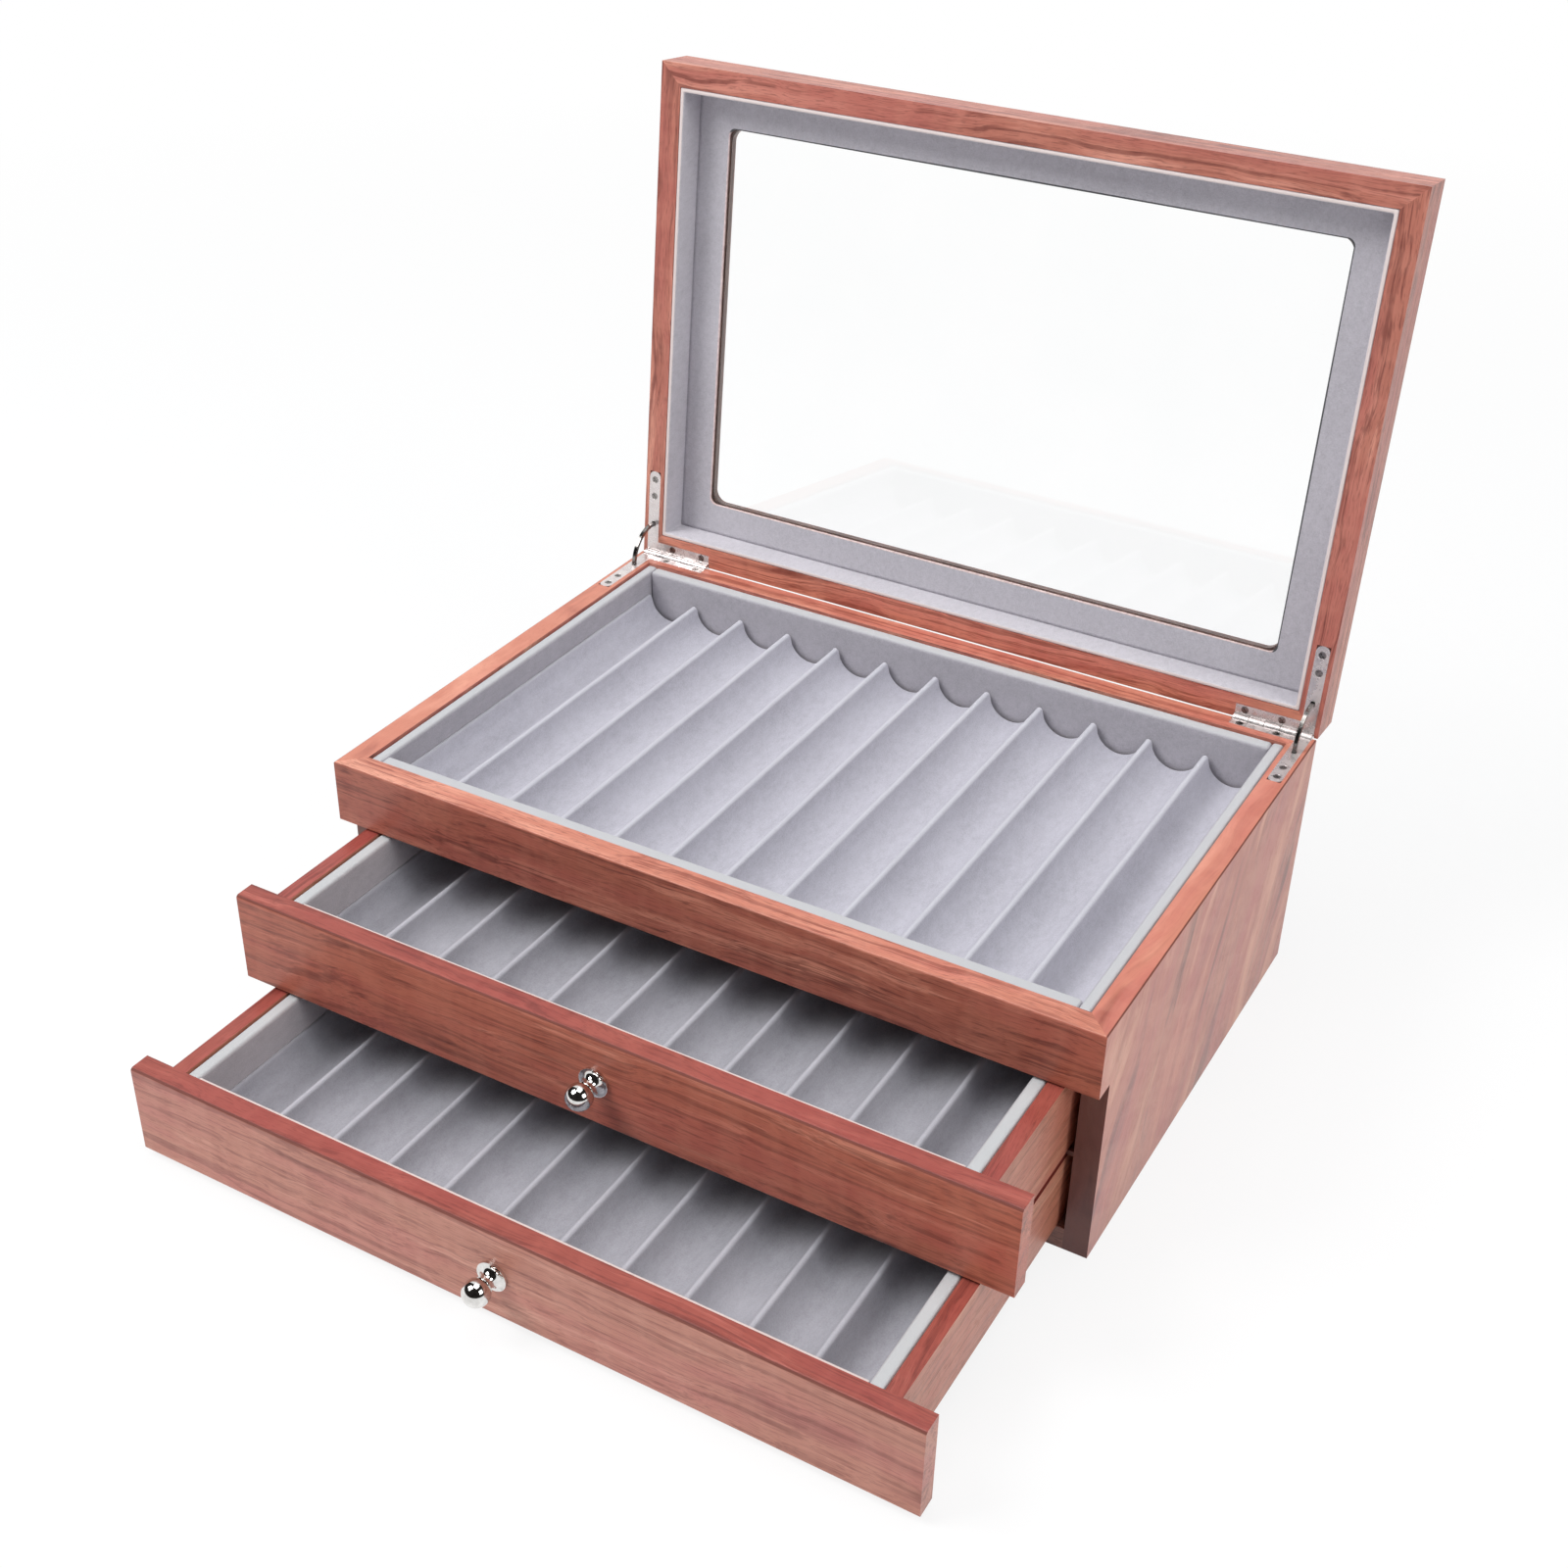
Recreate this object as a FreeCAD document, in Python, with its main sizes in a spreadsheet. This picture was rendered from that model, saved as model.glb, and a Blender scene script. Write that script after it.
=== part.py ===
"""Pen collector chest: a shallow slotted tray under a glazed hinged lid, over two slotted drawers.

Frame: +X to the right and +Z up for somebody who faces the drawer fronts, which look along -Y.
The origin is the middle of the underside.  All sizes are millimetres.

Every piece is modelled with the chest shut.  The pieces of the lid are then turned about the
hinge axis to the angle at which the stays hold it, and the drawers are drawn forward.
"""
import FreeCAD, Part
import math
import os
import re
import Sketcher
from FreeCAD import Placement, Rotation, Vector

SIZES = [
    # carcass
    ("chestWidth", 340.0), ("chestDepth", 230.0), ("board", 10.0),
    ("railHeight", 28.0), ("edgeRound", 0.8), ("dustThick", 2.2), ("dustInset", 3.0),
    ("deckThick", 2.6), ("dado", 3.0),
    # linings and slots of the tray
    ("traySlots", 12), ("trayPadSide", 5.5), ("trayPadEnd", 6.5), ("trayPadDrop", 0.6),
    ("trayInsert", 13.9), ("trayGrooveDepth", 11.5), ("padRound", 1.5), ("ridgeRound", 1.0),
    # drawers
    ("drawerSlots", 11), ("frontHeight", 40.4), ("frontThick", 9.0), ("frontRound", 1.4),
    ("frontInset", 0.3), ("frontLift", 3.0), ("reveal", 0.6), ("boxDrop", 0.4), ("boxLength", 204.0),
    ("boxWall", 6.5), ("boxFloor", 3.0), ("boxRebate", 4.0), ("sideGap", 3.3), ("runGap", 0.25),
    ("drawerPadSide", 6.2), ("drawerPadEnd", 1.6), ("drawerPadDrop", 0.3),
    ("upperInsert", 18.65), ("lowerInsert", 13.25), ("drawerGrooveDepth", 11.0),
    ("upperPull", 63.0), ("lowerPull", 128.5),
    # knobs and their screws
    ("knobBall", 5.4), ("knobReach", 9.8), ("knobFoot", 6.3), ("knobNeck", 2.8),
    ("knobFootThick", 1.2), ("knobBoreDepth", 6.0), ("knobScrew", 1.6), ("knobScrewHead", 3.2),
    ("knobScrewHeadThick", 1.8), ("knobScrewBite", 5.5), ("looseFit", 0.2),
    # lid
    ("lidHeight", 21.0), ("lidGap", 0.3), ("lidOpen", 95.5), ("lidPad", 2.0), ("lidRecess", 14.4),
    ("windowPad", 1.2), ("windowEndBorder", 18.0), ("windowSideBorder", 17.0), ("windowRound", 6.0),
    ("glassThick", 2.0), ("glassLap", 6.0),
    # hinges and stays
    ("axisBack", 0.3), ("axisDrop", 0.6), ("barrel", 2.1), ("pin", 1.0), ("pinFit", 0.05),
    ("barrelClear", 0.3), ("knuckle", 7.0), ("knuckles", 5), ("knuckleGap", 0.15),
    ("leafThick", 1.4), ("leafWide", 6.0), ("leafInset", 2.0), ("sideLeg", 41.5),
    ("backLeg", 35.0), ("hingeScrew", 0.9), ("hingeScrewHead", 1.7), ("hingeScrewLong", 8.0),
    ("hingeScrewFirst", 4.2), ("hingeScrewStep", 8.2),
    ("stayRadius", 15.2), ("stayWide", 1.6), ("stayThick", 1.6), ("stayHead", 1.0),
    ("stayHeadAngle", 7.0), ("stayTailChest", 11.5), ("stayTailLid", 17.1), ("staySlotGap", 0.4),
    ("stayPocket", 16.2),
]

# Levels and planes worked out from the sizes, as formulas over their names.
DERIVED = {
    "chestHeight": "railHeight + 2 * (frontHeight + reveal) + frontLift",
    "halfX": "chestWidth / 2",
    "halfY": "chestDepth / 2",
    "innerX": "halfX - board",
    "innerY": "halfY - board",
    "railBottom": "chestHeight - railHeight",
    "mouthY": "frontThick + reveal - halfY",
    "deckTop": "railBottom + deckThick",
    "trayX": "innerX - trayPadSide",
    "trayY": "innerY - trayPadEnd",
    "trayRidge": "deckTop + trayInsert",
    "upperFrontTop": "railBottom - reveal",
    "upperFrontBottom": "upperFrontTop - frontHeight",
    "lowerFrontTop": "upperFrontBottom - reveal",
    "lowerFrontBottom": "lowerFrontTop - frontHeight",
    "dustTop": "lowerFrontTop + dustThick",
    "upperBoxTop": "upperFrontTop - boxDrop",
    "upperBoxBottom": "dustTop + runGap",
    "lowerBoxTop": "lowerFrontTop - boxDrop",
    "lowerBoxBottom": "board + runGap",
    "boxX": "innerX - sideGap",
    "boxInX": "boxX - boxWall",
    "boxFront": "frontThick - halfY",
    "boxRear": "boxFront + boxLength",
    "boxInRear": "boxRear - boxWall",
    "slotX": "boxInX - drawerPadSide",
    "rimZ": "chestHeight + lidGap",
    "lidTop": "rimZ + lidHeight",
    "padZ": "rimZ + lidRecess",
    "frameZ": "padZ + windowPad",
    "windowWide": "2 * (innerX - windowEndBorder)",
    "windowDeep": "2 * (innerY - windowSideBorder)",
    "axisY": "halfY + axisBack",
    "axisZ": "chestHeight - axisDrop",
    "barrelEnd": "halfX - leafInset",
    "stayX": "halfX - leafInset - leafWide / 2",
    "stayY": "axisY - stayRadius",
}

doc = FreeCAD.newDocument("PenCollectorChest")
sheet = doc.addObject("Spreadsheet::Sheet", "Sizes")
for row, (word, size) in enumerate(SIZES, start=1):
    sheet.set("A%d" % row, word)
    sheet.set("B%d" % row, str(size))
    sheet.setAlias("B%d" % row, word)
doc.recompute()

WORDS = {word for word, size in SIZES}
AXES = {"x": ("YZ_Plane", 1), "y": ("XZ_Plane", -1), "z": ("XY_Plane", 1)}
nodes = []


def formula(text):
    """Write out a formula over the size names as an expression on the sheet's cells."""
    def name(match):
        word = match.group(0)
        if word in DERIVED:
            return "(" + formula(DERIVED[word]) + ")"
        return "Sizes." + word if word in WORDS else word
    return re.sub(r"[A-Za-z]\w*", name, str(text))


def value(text):
    """The number that a formula over the size names comes to."""
    return float(sheet.evalExpression(formula(text)))


def new_body(name):
    """Start the body of one piece; its label names its file."""
    body = doc.addObject("PartDesign::Body", name)
    body.Label = name
    nodes.append(body)
    return body


def origin_feature(body, role):
    """One of the planes or axes of the body's own origin."""
    return next(item for item in body.Origin.OriginFeatures if item.Role == role)


def new_sketch(body, axis, level):
    """A sketch square to an axis, at a level along that axis.

    Its own axes are Y and Z for axis x, X and Z for axis y, and X and Y for axis z.
    """
    plane, sign = AXES[axis]
    sketch = body.newObject("Sketcher::SketchObject", body.Name + "_sketch")
    sketch.AttachmentSupport = (origin_feature(body, plane), [""])
    sketch.MapMode = "FlatFace"
    sketch.setExpression("AttachmentOffset.Base.z", formula("%d * (%s)" % (sign, level)))
    return sketch


def bind(sketch, kind, places, text):
    """Add a dimension whose size follows a formula."""
    number = sketch.addConstraint(Sketcher.Constraint(kind, *places, value(text)))
    sketch.setExpression("Constraints[%d]" % number, formula(text))


def place_point(sketch, edge, end, x, y):
    """Hold one end of an edge at (x, y) from the sketch's origin."""
    bind(sketch, "DistanceX", (-1, 1, edge, end), x)
    bind(sketch, "DistanceY", (-1, 1, edge, end), y)


def outline(sketch, corners):
    """A closed outline of straight lines through corners given as formulas."""
    points = [Vector(value(x), value(y), 0) for x, y in corners]
    count = len(points)
    for index in range(count):
        sketch.addGeometry(Part.LineSegment(points[index], points[(index + 1) % count]))
    for index in range(count):
        following = (index + 1) % count
        sketch.addConstraint(Sketcher.Constraint("Coincident", index, 2, following, 1))
    for index, (x, y) in enumerate(corners):
        place_point(sketch, index, 1, x, y)


def rectangle(x0, x1, y0, y1):
    """The four corners of a rectangle."""
    return [(x0, y0), (x1, y0), (x1, y1), (x0, y1)]


def circle(sketch, x, y, radius):
    """A circle at (x, y) of a given radius, all as formulas."""
    centre = Vector(value(x), value(y), 0)
    edge = sketch.addGeometry(Part.Circle(centre, Vector(0, 0, 1), value(radius)))
    place_point(sketch, edge, 3, x, y)
    bind(sketch, "Radius", (edge,), radius)


def pad(body, axis, low, high, draw, *shape):
    """Add material between two levels along an axis, in the outline that draw makes."""
    sketch = new_sketch(body, axis, high if axis == "y" else low)
    draw(sketch, *shape)
    feature = body.newObject("PartDesign::Pad", body.Name + "_pad")
    feature.Profile = sketch
    feature.setExpression("Length", formula("(%s) - (%s)" % (high, low)))
    doc.recompute()
    return feature


def pocket(body, axis, low, high, draw, *shape):
    """Take material away between two levels along an axis, and make sure that some went."""
    before = body.Shape.Volume
    sketch = new_sketch(body, axis, low if axis == "y" else high)
    draw(sketch, *shape)
    feature = body.newObject("PartDesign::Pocket", body.Name + "_pocket")
    feature.Profile = sketch
    feature.setExpression("Length", formula("(%s) - (%s)" % (high, low)))
    doc.recompute()
    if not body.Shape.Volume < before:
        raise ValueError("a pocket of %s takes nothing away" % body.Label)
    return feature


def pattern(body, feature, role, count, length):
    """Repeat a feature along one of the body's axes, over a length."""
    repeat = body.newObject("PartDesign::LinearPattern", body.Name + "_pattern")
    repeat.Originals = [feature]
    repeat.Direction = (origin_feature(body, role), [""])
    repeat.setExpression("Length", formula(length))
    repeat.setExpression("Occurrences", formula(count))
    body.Tip = repeat
    doc.recompute()
    return repeat


def round_edges(body, radius, **planes):
    """Round the straight edges that lie in all the planes named by x, y and z."""
    def lies_in_planes(edge):
        ends = [vertex.Point for vertex in edge.Vertexes]
        return all(abs(getattr(point, axis) - value(level)) < 1e-4
                   for axis, level in planes.items() for point in ends)
    chosen = ["Edge%d" % number for number, edge in enumerate(body.Shape.Edges, start=1)
              if lies_in_planes(edge)]
    base = body.Tip
    feature = body.newObject("PartDesign::Fillet", body.Name + "_round")
    feature.Base = (base, chosen)
    feature.setExpression("Radius", formula(radius))
    body.Tip = feature
    doc.recompute()


def board(name, x0, x1, y0, y1, z0, z1):
    """A square-edged board between two levels along each axis."""
    body = new_body(name)
    pad(body, "z", z0, z1, outline, rectangle(x0, x1, y0, y1))
    return body


# ---------------------------------------------------------------- hinge places

def hinge_screw_places(side):
    """Centres of the four screws of a hinge leaf on one side (+1 or -1), as formulas."""
    along_side = ["halfY - sideLeg + hingeScrewFirst + %d * hingeScrewStep" % step
                  for step in range(2)]
    along_back = ["barrelEnd - backLeg + hingeScrewFirst",
                  "barrelEnd - backLeg + hingeScrewFirst + 2 * hingeScrewStep"]
    places = [("%d * stayX" % side, y) for y in along_side]
    before_barrel = "axisY - barrel - barrelClear - hingeScrewHead - looseFit / 2"
    places += [("%d * (%s)" % (side, x), before_barrel) for x in along_back]
    return places


def leaf_corners(side):
    """The L of a hinge leaf: one leg along the side and one along the back."""
    corners = [("barrelEnd", "halfY"), ("barrelEnd", "halfY - sideLeg"),
               ("barrelEnd - leafWide", "halfY - sideLeg"),
               ("barrelEnd - leafWide", "halfY - leafWide"),
               ("barrelEnd - backLeg", "halfY - leafWide"), ("barrelEnd - backLeg", "halfY")]
    return [("%d * (%s)" % (side, x), y) for x, y in corners]


def hinge_mortises(body, sides, low, high, screw_low, screw_high, pocket_low, pocket_high,
                   on_side):
    """Cut what a hinge needs into a rail: leaf recess, barrel hollow, stay pocket, pilot holes.

    on_side tells a piece along the side (two screws of its own and most of the stay's pocket)
    from a piece along the back (the other two screws and the barrel).
    """
    for side in sides:
        pocket(body, "z", low, high, outline, leaf_corners(side))
        screws = hinge_screw_places(side)
        for x, y in screws[:2] if on_side else screws[2:]:
            pocket(body, "z", screw_low, screw_high, circle, x, y, "hingeScrew + looseFit / 2")
        span = sorted(["%d * (stayX - stayThick / 2 - looseFit * 2)" % side,
                       "%d * (stayX + stayThick / 2 + looseFit * 2)" % side], key=value)
        pocket(body, "z", pocket_low, pocket_high, outline,
               rectangle(span[0], span[1], "stayY - stayWide / 2 - stayHead - looseFit * 2",
                         "innerY + board * 0.65"))
        if not on_side:
            ends = sorted(["%d * (barrelEnd - backLeg - barrelClear)" % side,
                           "%d * (barrelEnd + barrelClear)" % side], key=value)
            pocket(body, "x", ends[0], ends[1], circle, "axisY", "axisZ",
                   "barrel + barrelClear")


# ---------------------------------------------------------------- carcass

def side_panel(name, side):
    """A full-height side: mitred to the rail above the drawers, set back beside them."""
    def mirrored(corners):
        return [("%d * (%s)" % (side, x), y) for x, y in corners]
    body = new_body(name)
    pad(body, "z", "0", "railBottom", outline, mirrored(
        [("halfX", "mouthY"), ("halfX", "halfY"), ("innerX", "innerY"), ("innerX", "mouthY")]))
    pad(body, "z", "railBottom", "chestHeight", outline, mirrored(
        [("halfX", "-halfY"), ("halfX", "halfY"), ("innerX", "innerY"), ("innerX", "-innerY")]))
    groove = sorted(["%d * innerX" % side, "%d * (innerX + dado)" % side], key=value)
    pocket(body, "z", "dustTop - dustThick", "dustTop", outline,
           rectangle(groove[0], groove[1], "mouthY + dustInset", "innerY"))
    pocket(body, "z", "railBottom", "deckTop", outline,
           rectangle(groove[0], groove[1], "-innerY", "innerY"))
    round_edges(body, "edgeRound", x="%d * halfX" % side, z="chestHeight")
    hinge_mortises(body, [side], "chestHeight - leafThick", "chestHeight",
                   "chestHeight - hingeScrewLong - looseFit", "chestHeight",
                   "chestHeight - stayPocket", "chestHeight", True)
    return body


def back_panel(name):
    """The full-height back, mitred to both sides."""
    body = new_body(name)
    pad(body, "z", "0", "chestHeight", outline,
        [("-halfX", "halfY"), ("halfX", "halfY"), ("innerX", "innerY"), ("-innerX", "innerY")])
    round_edges(body, "edgeRound", y="halfY", z="chestHeight")
    hinge_mortises(body, [-1, 1], "chestHeight - leafThick", "chestHeight",
                   "chestHeight - hingeScrewLong - looseFit", "chestHeight",
                   "chestHeight - stayPocket", "chestHeight", False)
    return body


def front_rail(name):
    """The rail over the drawers, mitred to both sides."""
    body = new_body(name)
    pad(body, "z", "railBottom", "chestHeight", outline,
        [("-halfX", "-halfY"), ("halfX", "-halfY"), ("innerX", "-innerY"),
         ("-innerX", "-innerY")])
    round_edges(body, "edgeRound", y="-halfY", z="chestHeight")
    return body


def build_carcass():
    """Sides, back, rail, bottom, the panel between the drawers and the floor of the tray."""
    side_panel("side_panel_left", -1)
    side_panel("side_panel_right", 1)
    back_panel("back_panel")
    front_rail("front_rail")
    board("bottom_board", "-innerX", "innerX", "mouthY", "innerY", "0", "board")
    board("dust_panel", "-innerX - dado", "innerX + dado", "mouthY + dustInset", "innerY",
          "dustTop - dustThick", "dustTop")
    board("tray_floor", "-innerX - dado", "innerX + dado", "-innerY", "innerY",
          "railBottom", "deckTop")


# ---------------------------------------------------------------- padded linings and slots

def pen_groove(sketch, middle, top, pitch, depth):
    """The section of one pen groove: a round trough whose sides roll over into the ridges.

    The trough's circle and the two ridge circles touch, so with K the distance between their
    centres, K = (pitch^2 / 4 + depth^2) / (2 * depth).
    """
    half = value(pitch) / 2
    deep = value(depth)
    crest = value(top)
    ridge = value("ridgeRound")
    centre_x = value(middle)
    reach = (half ** 2 + deep ** 2) / (2 * deep)
    trough = reach - ridge
    drop = crest - deep + trough
    touch = Vector(half, crest - ridge - drop, 0) * (trough / reach)
    lean = math.atan2(touch.y, touch.x)
    normal = Vector(0, 0, 1)

    def arc(x, y, radius, start, end):
        return Part.ArcOfCircle(Part.Circle(Vector(centre_x + x, y, 0), normal, radius),
                                start, end)
    left = sketch.addGeometry(arc(-half, crest - ridge, ridge, -lean, math.pi / 2))
    bowl = sketch.addGeometry(arc(0, drop, trough, math.pi - lean, 2 * math.pi + lean))
    right = sketch.addGeometry(arc(half, crest - ridge, ridge, math.pi / 2, math.pi + lean))
    high = crest + 1
    corners = [Vector(centre_x + half, crest, 0), Vector(centre_x + half, high, 0),
               Vector(centre_x - half, high, 0), Vector(centre_x - half, crest, 0)]
    lines = [sketch.addGeometry(Part.LineSegment(corners[n], corners[n + 1])) for n in range(3)]
    for one, one_end, two, two_end in ((right, 1, lines[0], 1), (lines[0], 2, lines[1], 1),
                                       (lines[1], 2, lines[2], 1), (lines[2], 2, left, 2)):
        sketch.addConstraint(Sketcher.Constraint("Coincident", one, one_end, two, two_end))
    sketch.addConstraint(Sketcher.Constraint("Tangent", left, 1, bowl, 1))
    sketch.addConstraint(Sketcher.Constraint("Tangent", bowl, 2, right, 2))
    sketch.addConstraint(Sketcher.Constraint("Vertical", lines[0]))
    sketch.addConstraint(Sketcher.Constraint("Horizontal", lines[1]))
    sketch.addConstraint(Sketcher.Constraint("Vertical", lines[2]))
    crest_x = {left: "(%s) - (%s) / 2" % (middle, pitch), right: "(%s) + (%s) / 2" % (middle, pitch)}
    for edge, end in ((left, 2), (right, 1)):
        place_point(sketch, edge, 3, crest_x[edge], "(%s) - ridgeRound" % top)
        bind(sketch, "Radius", (edge,), "ridgeRound")
        bind(sketch, "DistanceX", (-1, 1, edge, end), crest_x[edge])
    span = "((%s)^2 / 4 + (%s)^2) / (2 * (%s))" % (pitch, depth, depth)
    bind(sketch, "DistanceY", (-1, 1, bowl, 3), "(%s) - (%s) + %s - ridgeRound" % (top, depth, span))
    bind(sketch, "DistanceY", (-1, 1, lines[0], 2), "(%s) + 1" % top)


def slotted_insert(name, half_x, y0, y1, z0, top, slots, depth):
    """A flocked insert with a row of equal pen grooves that run from front to back."""
    body = board(name, "-(%s)" % half_x, half_x, y0, y1, z0, top)
    pitch = "(2 * (%s) / (%s))" % (half_x, slots)
    first = "(%s) / 2 - (%s)" % (pitch, half_x)
    groove = pocket(body, "y", y0, y1, pen_groove, first, top, pitch, depth)
    pattern(body, groove, "X_Axis", slots, "2 * (%s) - %s" % (half_x, pitch))
    return body


def pad_wall(name, x0, x1, y0, y1, z0, z1, **inner):
    """A padded wall whose top is rounded towards the slots, on the plane that inner names."""
    body = board(name, x0, x1, y0, y1, z0, z1)
    round_edges(body, "padRound", z=z1, **inner)
    return body


def build_tray():
    """The linings and the slotted insert of the tray."""
    top = "chestHeight - trayPadDrop"
    pad_wall("tray_lining_left", "-innerX", "-trayX", "-innerY", "innerY", "deckTop", top,
             x="-trayX")
    pad_wall("tray_lining_right", "trayX", "innerX", "-innerY", "innerY", "deckTop", top,
             x="trayX")
    pad_wall("tray_lining_front", "-trayX", "trayX", "-innerY", "-trayY", "deckTop", top,
             y="-trayY")
    pad_wall("tray_lining_back", "-trayX", "trayX", "trayY", "innerY", "deckTop", top,
             y="trayY")
    slotted_insert("tray_insert", "trayX", "-trayY", "trayY", "deckTop", "trayRidge",
                   "traySlots", "trayGrooveDepth")


# ---------------------------------------------------------------- drawers

def knob_profile(sketch):
    """Half the section of a knob: flat foot, hollow flare, straight neck and ball."""
    foot, neck, ball = value("knobFoot"), value("knobNeck"), value("knobBall")
    thick, reach = value("knobFootThick"), value("knobReach")
    flare = foot - neck
    join = math.sqrt(ball ** 2 - neck ** 2)
    normal = Vector(0, 0, 1)
    edges = [
        Part.LineSegment(Vector(0, 0, 0), Vector(0, foot, 0)),
        Part.LineSegment(Vector(0, foot, 0), Vector(-thick, foot, 0)),
        Part.ArcOfCircle(Part.Circle(Vector(-thick - flare, foot, 0), normal, flare),
                         -math.pi / 2, 0),
        Part.LineSegment(Vector(-thick - flare, neck, 0), Vector(join - reach, neck, 0)),
        Part.ArcOfCircle(Part.Circle(Vector(-reach, 0, 0), normal, ball),
                         math.atan2(neck, join), math.pi),
        Part.LineSegment(Vector(-reach - ball, 0, 0), Vector(0, 0, 0)),
    ]
    face, rim, hollow, stem, crown, centre = [sketch.addGeometry(edge) for edge in edges]
    for one, one_end, two, two_end in ((face, 2, rim, 1), (rim, 2, hollow, 2),
                                       (hollow, 1, stem, 1), (stem, 2, crown, 1),
                                       (crown, 2, centre, 1), (centre, 2, face, 1),
                                       (face, 1, -1, 1)):
        sketch.addConstraint(Sketcher.Constraint("Coincident", one, one_end, two, two_end))
    sketch.addConstraint(Sketcher.Constraint("Vertical", face))
    for flat in (rim, stem, centre):
        sketch.addConstraint(Sketcher.Constraint("Horizontal", flat))
    flare_end = "-(knobFootThick + knobFoot - knobNeck)"
    bind(sketch, "DistanceY", (-1, 1, face, 2), "knobFoot")
    bind(sketch, "DistanceX", (-1, 1, rim, 2), "-knobFootThick")
    place_point(sketch, hollow, 3, flare_end, "knobFoot")
    bind(sketch, "DistanceX", (-1, 1, hollow, 1), flare_end)
    place_point(sketch, crown, 3, "-knobReach", "0")
    bind(sketch, "Radius", (crown,), "knobBall")


def knob(name):
    """A turned knob about its own Y axis, foot on y = 0, with a blind bore for its screw."""
    body = new_body(name)
    sketch = new_sketch(body, "x", "0")
    knob_profile(sketch)
    turned = body.newObject("PartDesign::Revolution", name + "_turned")
    turned.Profile = sketch
    turned.ReferenceAxis = (origin_feature(body, "Y_Axis"), [""])
    turned.Angle = 360
    doc.recompute()
    pocket(body, "y", "-knobBoreDepth", "0", circle, "0", "0", "knobScrew + looseFit / 2")
    return body


def knob_screw(name):
    """The screw of a knob, about the same Y axis: a flat round head and a plain shank."""
    body = new_body(name)
    under_head = "frontThick - knobScrewHeadThick - looseFit"
    pad(body, "y", under_head, under_head + " + knobScrewHeadThick", circle, "0", "0",
        "knobScrewHead")
    pad(body, "y", "-knobScrewBite", under_head, circle, "0", "0", "knobScrew")
    return body


def drawer_front(name, low, high):
    """A full overlay front with a softened edge, bored and counterbored for its knob's screw."""
    body = board(name, "frontInset - halfX", "halfX - frontInset", "-halfY", "boxFront", low, high)
    round_edges(body, "frontRound", y="-halfY", z=high)
    round_edges(body, "edgeRound", y="-halfY", z=low)
    middle = "((%s) + (%s)) / 2" % (low, high)
    pocket(body, "y", "-halfY", "boxFront", circle, "0", middle, "knobScrew + looseFit / 2")
    pocket(body, "y", "boxFront - knobScrewHeadThick - looseFit", "boxFront", circle,
           "0", middle, "knobScrewHead + looseFit")
    return body


def drawer_side(name, side, low, high):
    """A drawer side with a rebate along its lower inner edge for the bottom."""
    def across(x):
        return "%d * (%s)" % (side, x)
    body = new_body(name)
    ledge = "%s + boxFloor" % low
    pad(body, "y", "boxFront", "boxRear", outline,
        [(across("boxInX"), ledge), (across("boxInX + boxRebate"), ledge),
         (across("boxInX + boxRebate"), low), (across("boxX"), low),
         (across("boxX"), high), (across("boxInX"), high)])
    return body


def build_drawer(word, front_low, front_high, low, high, insert, pull):
    """One drawer: overlay front, open box, padded walls, slotted insert, knob and screw.

    The bottom stops against the back of the front; the box slides on its two sides.
    """
    first = len(nodes)
    floor = "%s + boxFloor" % low
    lining_top = "%s - drawerPadDrop" % high
    drawer_front(word + "_drawer_front", front_low, front_high)
    drawer_side(word + "_drawer_side_left", -1, low, high)
    drawer_side(word + "_drawer_side_right", 1, low, high)
    board(word + "_drawer_back", "-boxInX", "boxInX", "boxInRear", "boxRear", floor, high)
    board(word + "_drawer_bottom", "-boxInX - boxRebate", "boxInX + boxRebate", "boxFront",
          "boxRear", low, floor)
    pad_wall(word + "_drawer_lining_left", "-boxInX", "-slotX", "boxFront", "boxInRear",
             floor, lining_top, x="-slotX")
    pad_wall(word + "_drawer_lining_right", "slotX", "boxInX", "boxFront", "boxInRear",
             floor, lining_top, x="slotX")
    board(word + "_drawer_lining_front", "-slotX", "slotX", "boxFront",
          "boxFront + drawerPadEnd", floor, lining_top)
    board(word + "_drawer_lining_back", "-slotX", "slotX", "boxInRear - drawerPadEnd",
          "boxInRear", floor, lining_top)
    slotted_insert(word + "_drawer_insert", "slotX", "boxFront + drawerPadEnd",
                   "boxInRear - drawerPadEnd", floor, "%s + %s" % (floor, insert),
                   "drawerSlots", "drawerGrooveDepth")
    knob(word + "_drawer_knob")
    knob_screw(word + "_drawer_knob_screw")
    middle = value("((%s) + (%s)) / 2" % (front_low, front_high))
    for node in nodes[first:]:
        node.Placement = Placement(Vector(0, -value(pull), 0), Rotation())
    for node in nodes[-2:]:
        node.Placement = Placement(Vector(0, value("-halfY") - value(pull), middle), Rotation())


# ---------------------------------------------------------------- lid

def lid_rail(name, corners, mortises=None, **outer):
    """One mitred rail of the lid, rounded along its outer edges."""
    body = new_body(name)
    pad(body, "z", "rimZ", "lidTop", outline, corners)
    round_edges(body, "edgeRound", z="lidTop", **outer)
    if mortises:
        hinge_mortises(body, mortises[0], "rimZ", "rimZ + leafThick", "rimZ",
                       "rimZ + hingeScrewLong + looseFit", "rimZ", "rimZ + stayPocket",
                       mortises[1])
    return body


def rounded_opening(body, half_x, half_y, radius, low, high):
    """A centred rectangular opening with round corners through part of a board."""
    pocket(body, "z", low, high, outline,
           rectangle("-(%s)" % half_x, half_x, "-(%s)" % half_y, half_y))
    for sign_x in (-1, 1):
        for sign_y in (-1, 1):
            round_edges(body, radius, x="%d * (%s)" % (sign_x, half_x),
                        y="%d * (%s)" % (sign_y, half_y))


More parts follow.
